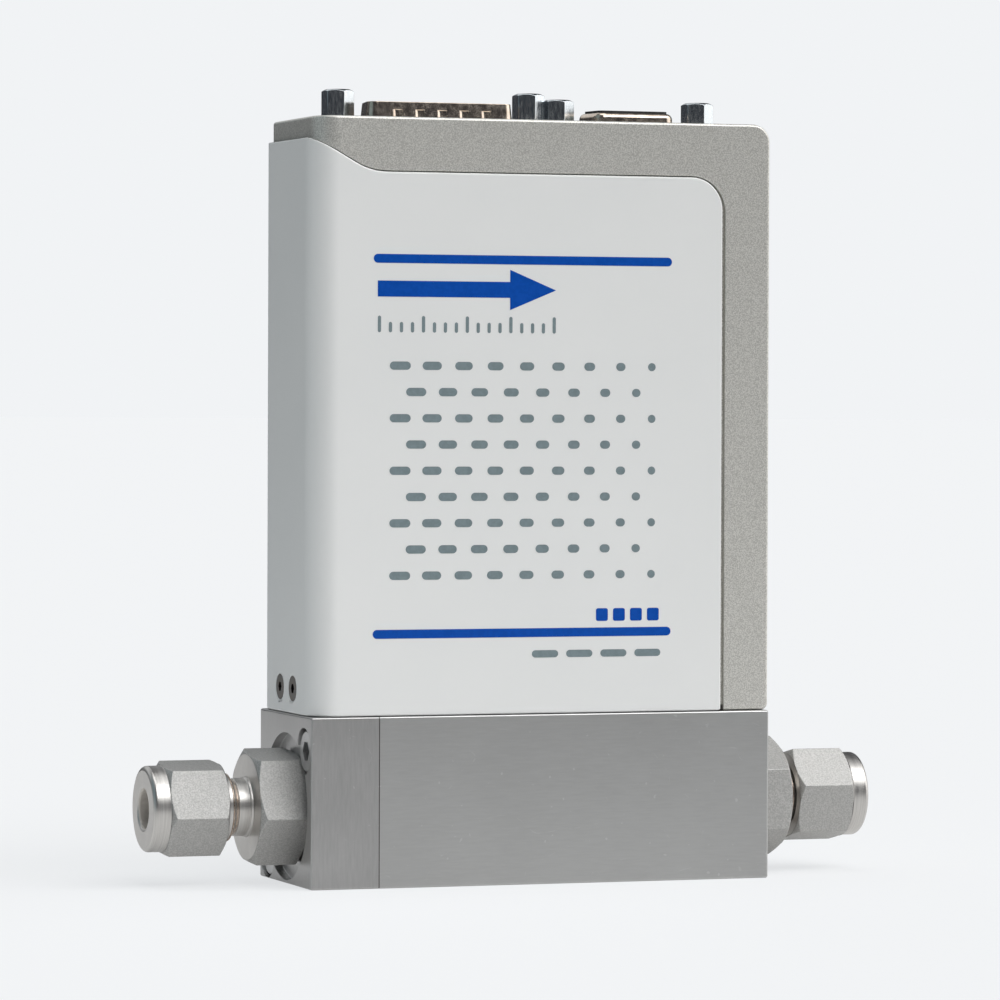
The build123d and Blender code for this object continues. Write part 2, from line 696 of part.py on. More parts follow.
cover_face = seam_outline(0, 0, BLOCK_H + FOOT_GAP, COVER_CORNER_R)
frame_face = seam_outline(ROOF_SEAM, SIDE_SEAM, -1, COVER_CORNER_R + SIDE_SEAM)
lip_face = seam_outline(-LIP, -LIP, -1, COVER_CORNER_R - LIP + 1)
COVER_SCREW_Y = 3.5
COVER_SCREW_Z = 32.2


def plan_face(left, right, half_width, corner_r):
    """Plan outline with its two inlet-side corners rounded."""
    with BuildSketch(mode=Mode.PRIVATE) as plan:
        with Locations(((left + right) / 2, 0)):
            Rectangle(right - left, 2 * half_width)
        fillet(plan.vertices().group_by(Axis.X)[0], corner_r)
    return plan.sketch


with BuildPart() as cover:
    with BuildSketch(upright(0, 0, BLOCK_H + FOOT_GAP)):
        add(plan_face(-END, COVER_RIGHT, BLOCK_W / 2, BEND_R))
        add(plan_face(-END + SHEET_T, COVER_RIGHT + 1, BLOCK_W / 2 - SHEET_T, BEND_R - SHEET_T),
            mode=Mode.SUBTRACT)
    extrude(amount=TOP_Z - BLOCK_H)
    extrude(cover_face, amount=BLOCK_W, both=True, mode=Mode.INTERSECT)
    for screw_y in (-COVER_SCREW_Y, COVER_SCREW_Y):
        with BuildSketch(LEFT_FACE):
            with Locations((screw_y, COVER_SCREW_Z)):
                Circle(2.25)
        with BuildSketch(LEFT_FACE.offset(SHEET_T)):
            with Locations((screw_y, COVER_SCREW_Z)):
                Circle(1.3)
        loft(mode=Mode.SUBTRACT)
save(cover.part, "cover")

with BuildPart() as cover_bracket:
    with BuildSketch(upright(-END + SHEET_T + BRACKET_T / 2, 0, BLOCK_H)):
        Rectangle(BRACKET_T, 18)
    extrude(amount=9)
    with BuildSketch(upright(0, 0, BLOCK_H)):
        with Locations((-34.4, 0)):
            Rectangle(7.6, 18)
        with Locations(*BRACKET_SCREWS):
            Circle(1.4, mode=Mode.SUBTRACT)
    extrude(amount=BRACKET_T)
    with BuildSketch(LEFT_FACE):
        with Locations((-COVER_SCREW_Y, COVER_SCREW_Z), (COVER_SCREW_Y, COVER_SCREW_Z)):
            Circle(1.25)
    extrude(amount=4, mode=Mode.SUBTRACT)
save(cover_bracket.part, "cover_bracket")

bracket_seats = [upright(x, y, BLOCK_H + BRACKET_T) for x, y in BRACKET_SCREWS]
save(screw_set(bracket_seats, 1.2, 5, 2.2, 1.6, 2.0), "bracket_screws")


def countersunk_screw(plane):
    """Flat-head screw: the plane is its head's face, its normal points out."""
    with BuildPart() as screw:
        with BuildSketch(plane.offset(-0.1)):
            Circle(2.1)
        with BuildSketch(plane.offset(-1.0)):
            Circle(1.2)
        loft()
        with BuildSketch(plane.offset(-1.0)):
            Circle(1.2)
        extrude(amount=-3.5)
        with BuildSketch(plane):
            RegularPolygon(0.75, 6, major_radius=False)
        extrude(amount=-1.5, mode=Mode.SUBTRACT)
    return screw.part


cover_screw_faces = [
    Plane(origin=(-END, y, COVER_SCREW_Z), x_dir=(0, 1, 0), z_dir=(-1, 0, 0))
    for y in (-COVER_SCREW_Y, COVER_SCREW_Y)
]
save(Compound(children=[countersunk_screw(face) for face in cover_screw_faces]), "cover_screws")


# ---- cast frame ---------------------------------------------------------------------
def dsub_face(width, depth, corner):
    """D-shaped outline, wide side to the front."""
    narrow = width - 2 * depth * tan(radians(DSUB_SLOPE))
    with BuildSketch(mode=Mode.PRIVATE) as shape:
        with BuildLine():
            Polyline((-width / 2, -depth / 2), (width / 2, -depth / 2), (narrow / 2, depth / 2),
                     (-narrow / 2, depth / 2), close=True)
        make_face()
        fillet(shape.vertices(), corner)
    return shape.sketch


def socket_face(grow, corner):
    """Outline of the socket's shell grown by one distance, wide side to the back."""
    return dsub_face(SOCKET_W + 2 * grow, SOCKET_D + 2 * grow, corner).rotate(Axis.Z, 180)


def plug_face(grow, corner):
    """Outline of the plug's shell grown by one distance, wide side to the front."""
    return dsub_face(PLUG_W + 2 * grow, PLUG_D + 2 * grow, corner)


ROOF_UNDER = TOP_Z - ROOF_T
LIP_HALF = BLOCK_W / 2 - SHEET_T - 0.15
LIP_LEFT = -END + SHEET_T + 0.15


def on_outside(point):
    """True on the roof line, the crown corner and the outlet end of the case."""
    return point.Z > TOP_Z - CROWN_R or point.X > CASE_RIGHT - CROWN_R


with BuildPart() as case_frame:
    with BuildSketch(Plane.XZ) as silhouette:
        with Locations(((CASE_LEFT + CASE_RIGHT) / 2, (TOP_Z + BLOCK_H + FOOT_GAP) / 2)):
            Rectangle(CASE_RIGHT - CASE_LEFT, TOP_Z - BLOCK_H - FOOT_GAP)
        fillet(silhouette.vertices().group_by(Axis.Y)[-1].sort_by(Axis.X)[-1:], CROWN_R)
        fillet(silhouette.vertices().group_by(Axis.Y)[0].sort_by(Axis.X)[-1:], 1.0)
        add(frame_face, mode=Mode.SUBTRACT)
    extrude(amount=CASE_HALF, both=True)
    end_face = case_frame.faces().sort_by(Axis.X)[0]
    fillet(end_face.edges().filter_by(lambda e: abs(abs(e.center().Y) - CASE_HALF) < 0.01), CORNER_R)
    side_edges = case_frame.edges().filter_by(
        lambda e: abs(abs(e.center().Y) - CASE_HALF) < 0.01 and on_outside(e.center()))
    crown = side_edges + case_frame.faces().sort_by(Axis.Z)[-1].edges().group_by(Axis.X)[0]
    bends = case_frame.faces().sort_by(Axis.Z)[-1].edges().filter_by(GeomType.CIRCLE)
    fillet(crown + bends, CROWN_BREAK)
    # hollow from below, leaving roof, skirt and outlet wall
    with BuildSketch(upright(0, 0, BLOCK_H - 1)):
        add(plan_face(CASE_LEFT + WALL_T, CASE_RIGHT - WALL_T, CASE_HALF - WALL_T, CORNER_R - WALL_T))
    extrude(amount=ROOF_UNDER - BLOCK_H + 1, mode=Mode.SUBTRACT)
    # rebated lip that the sheet cover overlaps
    with BuildSketch(upright(0, 0, BLOCK_H + 1)):
        add(plan_face(LIP_LEFT, CASE_RIGHT - 1, LIP_HALF, BEND_R - SHEET_T - 0.15))
        add(plan_face(CASE_LEFT + WALL_T, CASE_RIGHT, CASE_HALF - WALL_T, CORNER_R - WALL_T),
            mode=Mode.SUBTRACT)
    lip = extrude(amount=ROOF_UNDER - BLOCK_H - 0.5, mode=Mode.PRIVATE)
    opening = extrude(lip_face, amount=BLOCK_W, both=True, mode=Mode.PRIVATE)
    add(lip - opening)
    # foot screwed to the block, and two board bosses on the outlet wall
    with BuildSketch(upright(0, 0, BLOCK_H)):
        with Locations(((FOOT_START + CASE_RIGHT - 1) / 2, 0)):
            Rectangle(CASE_RIGHT - 1 - FOOT_START, 20)
        with Locations(*FOOT_SCREWS):
            Circle(1.7, mode=Mode.SUBTRACT)
    extrude(amount=FOOT_T)
    for boss_z in BOSS_ZS:
        with BuildSketch(Plane.XZ.offset(-BOARD_Y)):
            with Locations(((BOSS_LEFT + CASE_RIGHT - 1) / 2, boss_z)):
                Rectangle(CASE_RIGHT - 1 - BOSS_LEFT, 7)
            with Locations((BOARD_SCREW_X, boss_z)):
                Circle(1.0, mode=Mode.SUBTRACT)
        extrude(amount=6)
    # connector cut-outs and holes for the jack posts
    with BuildSketch(upright(PLUG_X, 0, TOP_Z)):
        add(plug_face(CUTOUT_GAP, DSUB_CORNER))
        with GridLocations(PLUG_PITCH, 1, 2, 1):
            Circle(1.6)
    with BuildSketch(upright(SOCKET_X, 0, TOP_Z)):
        add(socket_face(CUTOUT_GAP, DSUB_CORNER))
        with GridLocations(SOCKET_PITCH, 1, 2, 1):
            Circle(1.6)
    extrude(amount=-ROOF_T, mode=Mode.SUBTRACT)
save(case_frame.part, "case_frame")

save(screw_set([upright(x, y, BLOCK_H + FOOT_T) for x, y in FOOT_SCREWS], 1.45, 7, 2.7, 3.0, 2.5),
     "frame_screws")

# ---- D-sub connectors ---------------------------------------------------------------
FLANGE_TOP = ROOF_UNDER
REAR_END = FLANGE_TOP - 6.4
TAIL_END = BOARD_TOP - PCB_T - 1.2


def pin_places(count, long_row_y):
    """Contact places of a two-row connector, the longer row on the shell's wide side."""
    long_row = (count + 1) // 2
    wide = [((i - (long_row - 1) / 2) * PIN_PITCH, long_row_y) for i in range(long_row)]
    short = [((i - (long_row - 2) / 2) * PIN_PITCH, -long_row_y) for i in range(count - long_row)]
    return wide + short


PLUG_PINS = pin_places(15, -ROW_PITCH / 2)
SOCKET_PINS = pin_places(9, ROW_PITCH / 2)


def flange_sketch(pitch):
    """Connector flange with its two screw holes."""
    with BuildSketch(mode=Mode.PRIVATE) as flange:
        RectangleRounded(pitch + 2 * FLANGE_OVER, FLANGE_W, 1.5)
        with GridLocations(pitch, 1, 2, 1):
            Circle(1.6, mode=Mode.SUBTRACT)
    return flange.sketch


def rear_shell(x, pitch, outline):
    """Drawn shell behind the flange that clasps the insulator."""
    with BuildPart() as shell:
        with BuildSketch(upright(x, 0, FLANGE_TOP - SHELL_T)):
            add(flange_sketch(pitch))
        extrude(amount=-SHELL_T)
        with BuildSketch(upright(x, 0, FLANGE_TOP - SHELL_T)):
            add(outline(1, DSUB_CORNER))
        extrude(amount=REAR_END - FLANGE_TOP + SHELL_T)
        with BuildSketch(upright(x, 0, FLANGE_TOP - SHELL_T)):
            add(outline(1 - SHELL_T, DSUB_CORNER - SHELL_T))
        extrude(amount=REAR_END - FLANGE_TOP + SHELL_T, mode=Mode.SUBTRACT)
    return shell.part


def contact_set(x, places, radius, tip_z):
    """Round contacts with solder tails that reach through the connector board."""
    with BuildPart() as contacts:
        with BuildSketch(upright(x, 0, REAR_END - 0.4)):
            with Locations(*places):
                Circle(radius)
        extrude(amount=tip_z - REAR_END + 0.4)
        with BuildSketch(upright(x, 0, TAIL_END)):
            with Locations(*places):
                Rectangle(0.6, 0.6)
        extrude(amount=REAR_END - 0.4 - TAIL_END)
    return contacts.part


RIM_CORNER = DSUB_CORNER - PLUG_DRAFT
with BuildPart() as plug_15_shell:
    with BuildSketch(upright(PLUG_X, 0, FLANGE_TOP)):
        add(flange_sketch(PLUG_PITCH))
    extrude(amount=-SHELL_T)
    with BuildSketch(upright(PLUG_X, 0, FLANGE_TOP - SHELL_T)):
        add(plug_face(0, DSUB_CORNER))
    extrude(amount=ROOF_T + SHELL_T)
    with BuildSketch(upright(PLUG_X, 0, TOP_Z)):
        add(plug_face(0, DSUB_CORNER))
    with BuildSketch(upright(PLUG_X, 0, TOP_Z + PLUG_RISE)):
        add(plug_face(-PLUG_DRAFT, RIM_CORNER))
    loft()
    with BuildSketch(upright(PLUG_X, 0, FLANGE_TOP - SHELL_T)):
        add(plug_face(-SHELL_T, DSUB_CORNER - SHELL_T))
    extrude(amount=ROOF_T + SHELL_T, mode=Mode.SUBTRACT)
    with BuildSketch(upright(PLUG_X, 0, TOP_Z)):
        add(plug_face(-SHELL_T, DSUB_CORNER - SHELL_T))
    with BuildSketch(upright(PLUG_X, 0, TOP_Z + PLUG_RISE)):
        add(plug_face(-PLUG_DRAFT - SHELL_T, RIM_CORNER - SHELL_T))
    loft(mode=Mode.SUBTRACT)
    # pressed grounding dimples that grip the mating shell
    for face_y in (-PLUG_D / 2 - DIMPLE_FLOOR, PLUG_D / 2 + DIMPLE_FLOOR):
        with BuildSketch(Plane.XZ.offset(-face_y)):
            with Locations((PLUG_X, TOP_Z + DIMPLE_Z)):
                with GridLocations(DIMPLE_PITCH, 1, 5, 1):
                    Rectangle(DIMPLE_W, DIMPLE_H)
        extrude(amount=2 * DIMPLE_FLOOR if face_y > 0 else -2 * DIMPLE_FLOOR, mode=Mode.SUBTRACT)
save(plug_15_shell.part, "plug_15_shell")
save(rear_shell(PLUG_X, PLUG_PITCH, plug_face), "plug_15_rear_shell")

with BuildPart() as plug_15_insulator:
    with BuildSketch(upright(PLUG_X, 0, REAR_END - 0.4)):
        add(plug_face(0.45, DSUB_CORNER - SHELL_T))
    extrude(amount=FLANGE_TOP - 0.6 - REAR_END)
    with BuildSketch(upright(PLUG_X, 0, FLANGE_TOP - 1.0)):
        add(plug_face(-SHELL_T - INSULATOR_GAP, DSUB_CORNER - SHELL_T - INSULATOR_GAP))
    extrude(amount=1.5)
    with BuildSketch(upright(PLUG_X, 0, REAR_END - 0.4)):
        with Locations(*PLUG_PINS):
            Circle(PLUG_PIN_R + 0.02)
    extrude(amount=9, mode=Mode.SUBTRACT)
save(plug_15_insulator.part, "plug_15_insulator")
save(contact_set(PLUG_X, PLUG_PINS, PLUG_PIN_R, TOP_Z + PLUG_RISE - 0.6), "plug_15_pins")

SOCKET_TOP = TOP_Z + SOCKET_RISE
with BuildPart() as socket_9_shell:
    with BuildSketch(upright(SOCKET_X, 0, FLANGE_TOP - SHELL_T)):
        add(socket_face(0, DSUB_CORNER))
    extrude(amount=SOCKET_TOP - FLANGE_TOP + SHELL_T)
    fillet(socket_9_shell.faces().sort_by(Axis.Z)[-1].edges(), SOCKET_LIP + 0.4)
    with BuildSketch(upright(SOCKET_X, 0, FLANGE_TOP)):
        add(flange_sketch(SOCKET_PITCH))
    extrude(amount=-SHELL_T)
    with BuildSketch(upright(SOCKET_X, 0, FLANGE_TOP - SHELL_T)):
        add(socket_face(-SHELL_T, DSUB_CORNER - SHELL_T))
    extrude(amount=SOCKET_TOP - SOCKET_LIP - FLANGE_TOP, mode=Mode.SUBTRACT)
    with BuildSketch(upright(SOCKET_X, 0, SOCKET_TOP)):
        add(socket_face(-SHELL_T - SOCKET_LIP, DSUB_CORNER - SHELL_T - SOCKET_LIP))
    extrude(amount=-2 * SOCKET_LIP, mode=Mode.SUBTRACT)
save(socket_9_shell.part, "socket_9_shell")
save(rear_shell(SOCKET_X, SOCKET_PITCH, socket_face), "socket_9_rear_shell")

MOUTH_INSET = SHELL_T + SOCKET_LIP + INSULATOR_GAP
with BuildPart() as socket_9_insulator:
    with BuildSketch(upright(SOCKET_X, 0, REAR_END - 0.4)):
        add(socket_face(0.45, DSUB_CORNER - SHELL_T))
    extrude(amount=FLANGE_TOP - 0.6 - REAR_END)
    with BuildSketch(upright(SOCKET_X, 0, FLANGE_TOP - 1.0)):
        add(socket_face(-MOUTH_INSET, DSUB_CORNER - MOUTH_INSET))
    extrude(amount=SOCKET_TOP + SOCKET_PROUD - FLANGE_TOP + 1.0)
    with BuildSketch(upright(SOCKET_X, 0, REAR_END - 0.4)):
        with Locations(*SOCKET_PINS):
            Circle(SOCKET_TUBE_R + 0.02)
    extrude(amount=20, mode=Mode.SUBTRACT)
save(socket_9_insulator.part, "socket_9_insulator")
save(contact_set(SOCKET_X, SOCKET_PINS, SOCKET_TUBE_R, SOCKET_TOP - 1.0), "socket_9_contacts")


def jack_post(x, height):
    """Female hexagonal standoff with a stud down through roof and flange."""
    with BuildPart() as post:
        with BuildSketch(upright(x, 0, TOP_Z)):
            RegularPolygon(POST_AF / 2, 6, major_radius=False, rotation=POST_TURN)
        extrude(amount=height)
        with BuildSketch(Plane.XZ) as limit:
            with BuildLine():
                Polyline((x, TOP_Z), (x + 4, TOP_Z), (x + 4, TOP_Z + height - 1),
                         (x + 2.0, TOP_Z + height), (x, TOP_Z + height), close=True)
            make_face()
        revolve(axis=Axis((x, 0, 0), (0, 0, 1)), mode=Mode.INTERSECT)
        with BuildSketch(upright(x, 0, TOP_Z + height)):
            Circle(POST_TAP_R)
        extrude(amount=-4.5, mode=Mode.SUBTRACT)
        with BuildSketch(upright(x, 0, TOP_Z)):
            Circle(POST_STUD_R)
        extrude(amount=-ROOF_T - 3)
    return post.part


for post_name, mid_x, pitch, height in (
        ("plug_jack_posts", PLUG_X, PLUG_PITCH, PLUG_POST_H),
        ("socket_jack_posts", SOCKET_X, SOCKET_PITCH, SOCKET_POST_H)):
    pair = [jack_post(mid_x + dx, height) for dx in (-pitch / 2, pitch / 2)]
    save(Compound(children=pair), post_name)

# ---- electronics --------------------------------------------------------------------
with BuildPart() as connector_board:
    with BuildSketch(upright(0, 0, BOARD_TOP - PCB_T)):
        with Locations(((BOARD_LEFT + BOARD_RIGHT) / 2, 0)):
            Rectangle(BOARD_RIGHT - BOARD_LEFT, 21)
        with Locations(*[(PLUG_X + x, y) for x, y in PLUG_PINS]):
            Rectangle(0.7, 0.7, mode=Mode.SUBTRACT)
        with Locations(*[(SOCKET_X + x, y) for x, y in SOCKET_PINS]):
            Rectangle(0.7, 0.7, mode=Mode.SUBTRACT)
    extrude(amount=PCB_T)
save(connector_board.part, "connector_board")

MAIN_TOP = BOARD_TOP - PCB_T - 3
with BuildPart() as control_board:
    with BuildSketch(Plane.XZ.offset(-BOARD_Y)):
        with Locations(((BOARD_LEFT + BOARD_RIGHT) / 2, (MAIN_BOTTOM + MAIN_TOP) / 2)):
            Rectangle(BOARD_RIGHT - BOARD_LEFT, MAIN_TOP - MAIN_BOTTOM)
        with Locations(*[(BOARD_SCREW_X, z) for z in BOSS_ZS]):
            Circle(1.3, mode=Mode.SUBTRACT)
    extrude(amount=-PCB_T)
save(control_board.part, "control_board")

# chips and parts on the board: middle X and Z, width, height, thickness
BOARD_PARTS = ((-14, 88, 14, 14, 1.6), (8, 96, 9, 6, 1.8), (8, 84, 9, 6, 1.8), (-26, 104, 8, 5, 2.2),
               (-2, 72, 5, 4, 1.2), (16, 100, 10, 8, 4.0), (-28, 74, 8, 10, 3.0), (-10, 68, 10, 5, 1.6))
with BuildPart() as board_components:
    for mid_x, mid_z, width, height, depth in BOARD_PARTS:
        with BuildSketch(Plane.XZ.offset(-BOARD_Y)):
            with Locations((mid_x, mid_z)):
                Rectangle(width, height)
        extrude(amount=depth)
save(board_components.part, "board_components")

with BuildPart() as board_header:
    with BuildSketch(Plane.XZ.offset(-BOARD_Y)):
        with Locations((-4, MAIN_TOP - 2.5)):
            Rectangle(26, 5)
    extrude(amount=3)
    with BuildSketch(upright(-4, BOARD_Y - 1.5, MAIN_TOP)):
        Rectangle(26, 3)
    extrude(amount=3)
save(board_header.part, "board_header")

board_screw_seats = [
    Plane(origin=(BOARD_SCREW_X, BOARD_Y + PCB_T, z), x_dir=(1, 0, 0), z_dir=(0, 1, 0)) for z in BOSS_ZS
]
save(screw_set(board_screw_seats, 0.95, 5, 1.9, 1.2, 1.5), "board_screws")
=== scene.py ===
"""Mass flow controller: rounded edges, finishes, cover print, connectors, studio light and camera."""

import json
from math import cos, radians, sin

import bmesh
import bpy
from mathutils import Matrix, Vector
from mathutils.bvhtree import BVHTree


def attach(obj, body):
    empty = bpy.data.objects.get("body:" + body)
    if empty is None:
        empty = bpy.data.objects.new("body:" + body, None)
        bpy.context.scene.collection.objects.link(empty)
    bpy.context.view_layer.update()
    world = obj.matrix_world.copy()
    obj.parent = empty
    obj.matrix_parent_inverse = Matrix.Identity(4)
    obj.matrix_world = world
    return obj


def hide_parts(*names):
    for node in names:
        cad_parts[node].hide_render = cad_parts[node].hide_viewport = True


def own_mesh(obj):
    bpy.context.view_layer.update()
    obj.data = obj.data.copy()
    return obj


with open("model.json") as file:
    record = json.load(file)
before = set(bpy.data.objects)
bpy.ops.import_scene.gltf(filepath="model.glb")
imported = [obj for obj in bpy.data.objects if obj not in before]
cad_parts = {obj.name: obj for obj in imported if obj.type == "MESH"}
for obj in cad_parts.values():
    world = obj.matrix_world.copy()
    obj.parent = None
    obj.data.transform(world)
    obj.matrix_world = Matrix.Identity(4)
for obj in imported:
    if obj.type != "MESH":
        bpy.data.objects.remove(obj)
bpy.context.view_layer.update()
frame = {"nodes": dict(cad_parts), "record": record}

MM = 0.001
NODES = frame["nodes"]
BODY = "controller"
FLOW_Z = 12.7 * MM
# start of a probing line, well outside the part
OUTSIDE = 50 * MM

# ---- object helpers -----------------------------------------------------------------


def corners_of(name):
    """World places of the corners of a CAD node's box."""
    cad = NODES[name]
    return [cad.matrix_world @ Vector(corner) for corner in cad.bound_box]


def add_piece(mesh):
    """New object in the scene for a mesh, under the mesh's own name."""
    piece = bpy.data.objects.new(mesh.name, mesh)
    bpy.context.scene.collection.objects.link(piece)
    return piece


def met_point(name, start, direction):
    """First point where a line from a start meets a CAD node."""
    mesh = NODES[name].data
    shape = BVHTree.FromPolygons([v.co for v in mesh.vertices], [p.vertices for p in mesh.polygons])
    return shape.ray_cast(Vector(start), Vector(direction))[0]


# ---- shader node helpers ------------------------------------------------------------


def node(tree, kind, inputs=None, **settings):
    """Add one node, set its properties, and set or link its inputs by name."""
    made = tree.nodes.new(kind)
    for key, value in settings.items():
        setattr(made, key, value)
    for key, value in (inputs or {}).items():
        if isinstance(value, bpy.types.NodeSocket):
            tree.links.new(value, made.inputs[key])
        else:
            made.inputs[key].default_value = value
    return made


def group(name, inputs, outputs):
    """New node group with float or vector inputs and named outputs; returns it and its two ends."""
    tree = bpy.data.node_groups.new(name, "ShaderNodeTree")
    for label, kind, value in inputs:
        socket = tree.interface.new_socket(label, in_out="INPUT", socket_type=kind)
        if value is not None:
            socket.default_value = value
    for label, kind in outputs:
        tree.interface.new_socket(label, in_out="OUTPUT", socket_type=kind)
    return tree, tree.nodes.new("NodeGroupInput"), tree.nodes.new("NodeGroupOutput")


def ramp(tree, value, low, high, to_low, to_high):
    """Map a value from one range to another, clamped and smooth."""
    made = node(tree, "ShaderNodeMapRange", {
        "Value": value, "From Min": low, "From Max": high, "To Min": to_low, "To Max": to_high},
        interpolation_type="SMOOTHSTEP")
    return made.outputs["Result"]


# noise hardly ever leaves this span about 0.5
NOISE_LOW = 0.3
NOISE_HIGH = 0.7


def over_noise(tree, noise, to_low, to_high):
    """Spread a noise's usual span over two limits."""
    return ramp(tree, noise, NOISE_LOW, NOISE_HIGH, to_low, to_high)


def mix_colour(tree, factor, first, second):
    """Blend two colours."""
    made = node(tree, "ShaderNodeMix", data_type="RGBA")
    for index, value in ((0, factor), (6, first), (7, second)):
        if isinstance(value, bpy.types.NodeSocket):
            tree.links.new(value, made.inputs[index])
        else:
            made.inputs[index].default_value = value
    return made.outputs[2]


def math(tree, operation, first, second=0.0):
    """One math node on one or two values or sockets."""
    made = node(tree, "ShaderNodeMath", {0: first, 1: second}, operation=operation)
    return made.outputs[0]


FLOAT, VECTOR = "NodeSocketFloat", "NodeSocketVector"


def make_grain_group():
    """Fine lines along one direction: noise stretched by a scale vector, in lines per metre."""
    tree, source, sink = group("machined_grain", [
        ("Position", VECTOR, None), ("Scale", VECTOR, (1, 1, 1))], [("Grain", FLOAT)])
    scaled = node(tree, "ShaderNodeVectorMath", {
        0: source.outputs["Position"], 1: source.outputs["Scale"]}, operation="MULTIPLY")
    noise = node(tree, "ShaderNodeTexNoise", {
        "Vector": scaled.outputs[0], "Scale": 1.0, "Detail": 4.0, "Roughness": 0.65})
    tree.links.new(noise.outputs["Fac"], sink.inputs["Grain"])
    return tree


def make_speck_group():
    """Even noise at one size: value about 0.5, for orange peel, flake and blast texture."""
    tree, source, sink = group("speck", [
        ("Position", VECTOR, None), ("Specks per metre", FLOAT, 1000.0), ("Detail", FLOAT, 2.0)],
        [("Speck", FLOAT)])
    noise = node(tree, "ShaderNodeTexNoise", {
        "Vector": source.outputs["Position"], "Scale": source.outputs["Specks per metre"],
        "Detail": source.outputs["Detail"], "Roughness": 0.6})
    tree.links.new(noise.outputs["Fac"], sink.inputs["Speck"])
    return tree


def make_cloud_group():
    """Broad soft patches, as handling leaves on bare metal, between two limits."""
    tree, source, sink = group("handling_cloud", [
        ("Position", VECTOR, None), ("Low", FLOAT, 0.0), ("High", FLOAT, 1.0)], [("Cloud", FLOAT)])
    noise = node(tree, "ShaderNodeTexNoise", {
        "Vector": source.outputs["Position"], "Scale": 55.0, "Detail": 3.0, "Roughness": 0.5})
    spread = node(tree, "ShaderNodeMapRange", {
        "Value": noise.outputs["Fac"], "From Min": NOISE_LOW, "From Max": NOISE_HIGH,
        "To Min": source.outputs["Low"], "To Max": source.outputs["High"]})
    tree.links.new(spread.outputs["Result"], sink.inputs["Cloud"])
    return tree


def make_scratch_group():
    """Sparse hair-fine arcs, as a deburring pad leaves: broken contour lines of a soft noise."""
    tree, source, sink = group("fine_scratches", [
        ("Position", VECTOR, None), ("Scale", VECTOR, (60, 60, 60)), ("Width", FLOAT, 0.004)],
        [("Scratch", FLOAT)])
    scaled = node(tree, "ShaderNodeVectorMath", {
        0: source.outputs["Position"], 1: source.outputs["Scale"]}, operation="MULTIPLY")
    field = node(tree, "ShaderNodeTexNoise", {"Vector": scaled.outputs[0], "Scale": 1.0, "Detail": 1.0})
    breaks = node(tree, "ShaderNodeTexNoise", {"Vector": scaled.outputs[0], "Scale": 7.0, "Detail": 2.0})
    off = math(tree, "ABSOLUTE", math(tree, "SUBTRACT", field.outputs["Fac"], 0.5))
    line = ramp(tree, off, 0.0, source.outputs["Width"], 1.0, 0.0)
    kept = ramp(tree, breaks.outputs["Fac"], 0.54, 0.64, 0.0, 1.0)
    tree.links.new(math(tree, "MULTIPLY", line, kept), sink.inputs["Scratch"])
    return tree


def make_gap_shade_group():
    """Thin line across the flow at one place along it: painted shade for the narrow gap where the two
    blocks meet.
    """
    tree, source, sink = group("painted_gap_shade_line", [
        ("Position", VECTOR, None), ("Place", FLOAT, 0.0), ("Half width", FLOAT, 0.0001)],
        [("Line", FLOAT)])
    split = node(tree, "ShaderNodeSeparateXYZ", {0: source.outputs["Position"]})
    off = math(tree, "ABSOLUTE", math(tree, "SUBTRACT", split.outputs["X"], source.outputs["Place"]))
    edge = math(tree, "MULTIPLY", source.outputs["Half width"], 0.6)
    tree.links.new(ramp(tree, off, edge, source.outputs["Half width"], 1.0, 0.0), sink.inputs["Line"])
    return tree


def make_axis_group():
    """Distance from the axis that both tube fittings share."""
    tree, source, sink = group("distance_from_flow_axis", [
        ("Position", VECTOR, None)], [("Radius", FLOAT)])
    moved = node(tree, "ShaderNodeVectorMath", {
        0: source.outputs["Position"], 1: (0.0, 0.0, FLOW_Z)}, operation="SUBTRACT")
    across = node(tree, "ShaderNodeVectorMath", {
        0: moved.outputs[0], 1: (0.0, 1.0, 1.0)}, operation="MULTIPLY")
    length = node(tree, "ShaderNodeVectorMath", {0: across.outputs[0]}, operation="LENGTH")
    tree.links.new(length.outputs["Value"], sink.inputs["Radius"])
    return tree


GRAIN = make_grain_group()
SPECK = make_speck_group()
CLOUD = make_cloud_group()
SCRATCH = make_scratch_group()
AXIS = make_axis_group()
GAP_SHADE_LINE = make_gap_shade_group()


def start_material(name, **constants):
    """Material with a Principled shader whose uniform values are set on its own sockets."""
    made = bpy.data.materials.new(name)
    made.use_nodes = True
    tree = made.node_tree
    shader = tree.nodes["Principled BSDF"]
    for key, value in constants.items():
        shader.inputs[key.replace("_", " ")].default_value = value
    place = tree.nodes.new("ShaderNodeTexCoord").outputs["Object"]
    return made, tree, shader, place


def use(tree, shared, inputs):
    """Place a shared group."""
    made = tree.nodes.new("ShaderNodeGroup")
    made.node_tree = shared
    for key, value in inputs.items():
        if isinstance(value, bpy.types.NodeSocket):
            tree.links.new(value, made.inputs[key])
        else:
            made.inputs[key].default_value = value
    return made.outputs[0]


def bump(tree, shader, height, strength, distance):
    """Feed a height into the shader's normal."""
    made = node(tree, "ShaderNodeBump", {"Height": height, "Strength": strength, "Distance": distance})
    tree.links.new(made.outputs["Normal"], shader.inputs["Normal"])


def grey(value):
    """Neutral colour."""
    return (value, value, value, 1.0)


# how far handling shifts the tone of bare metal and of the blocks
METAL_CLOUD = 0.06
BLOCK_CLOUD = 0.15


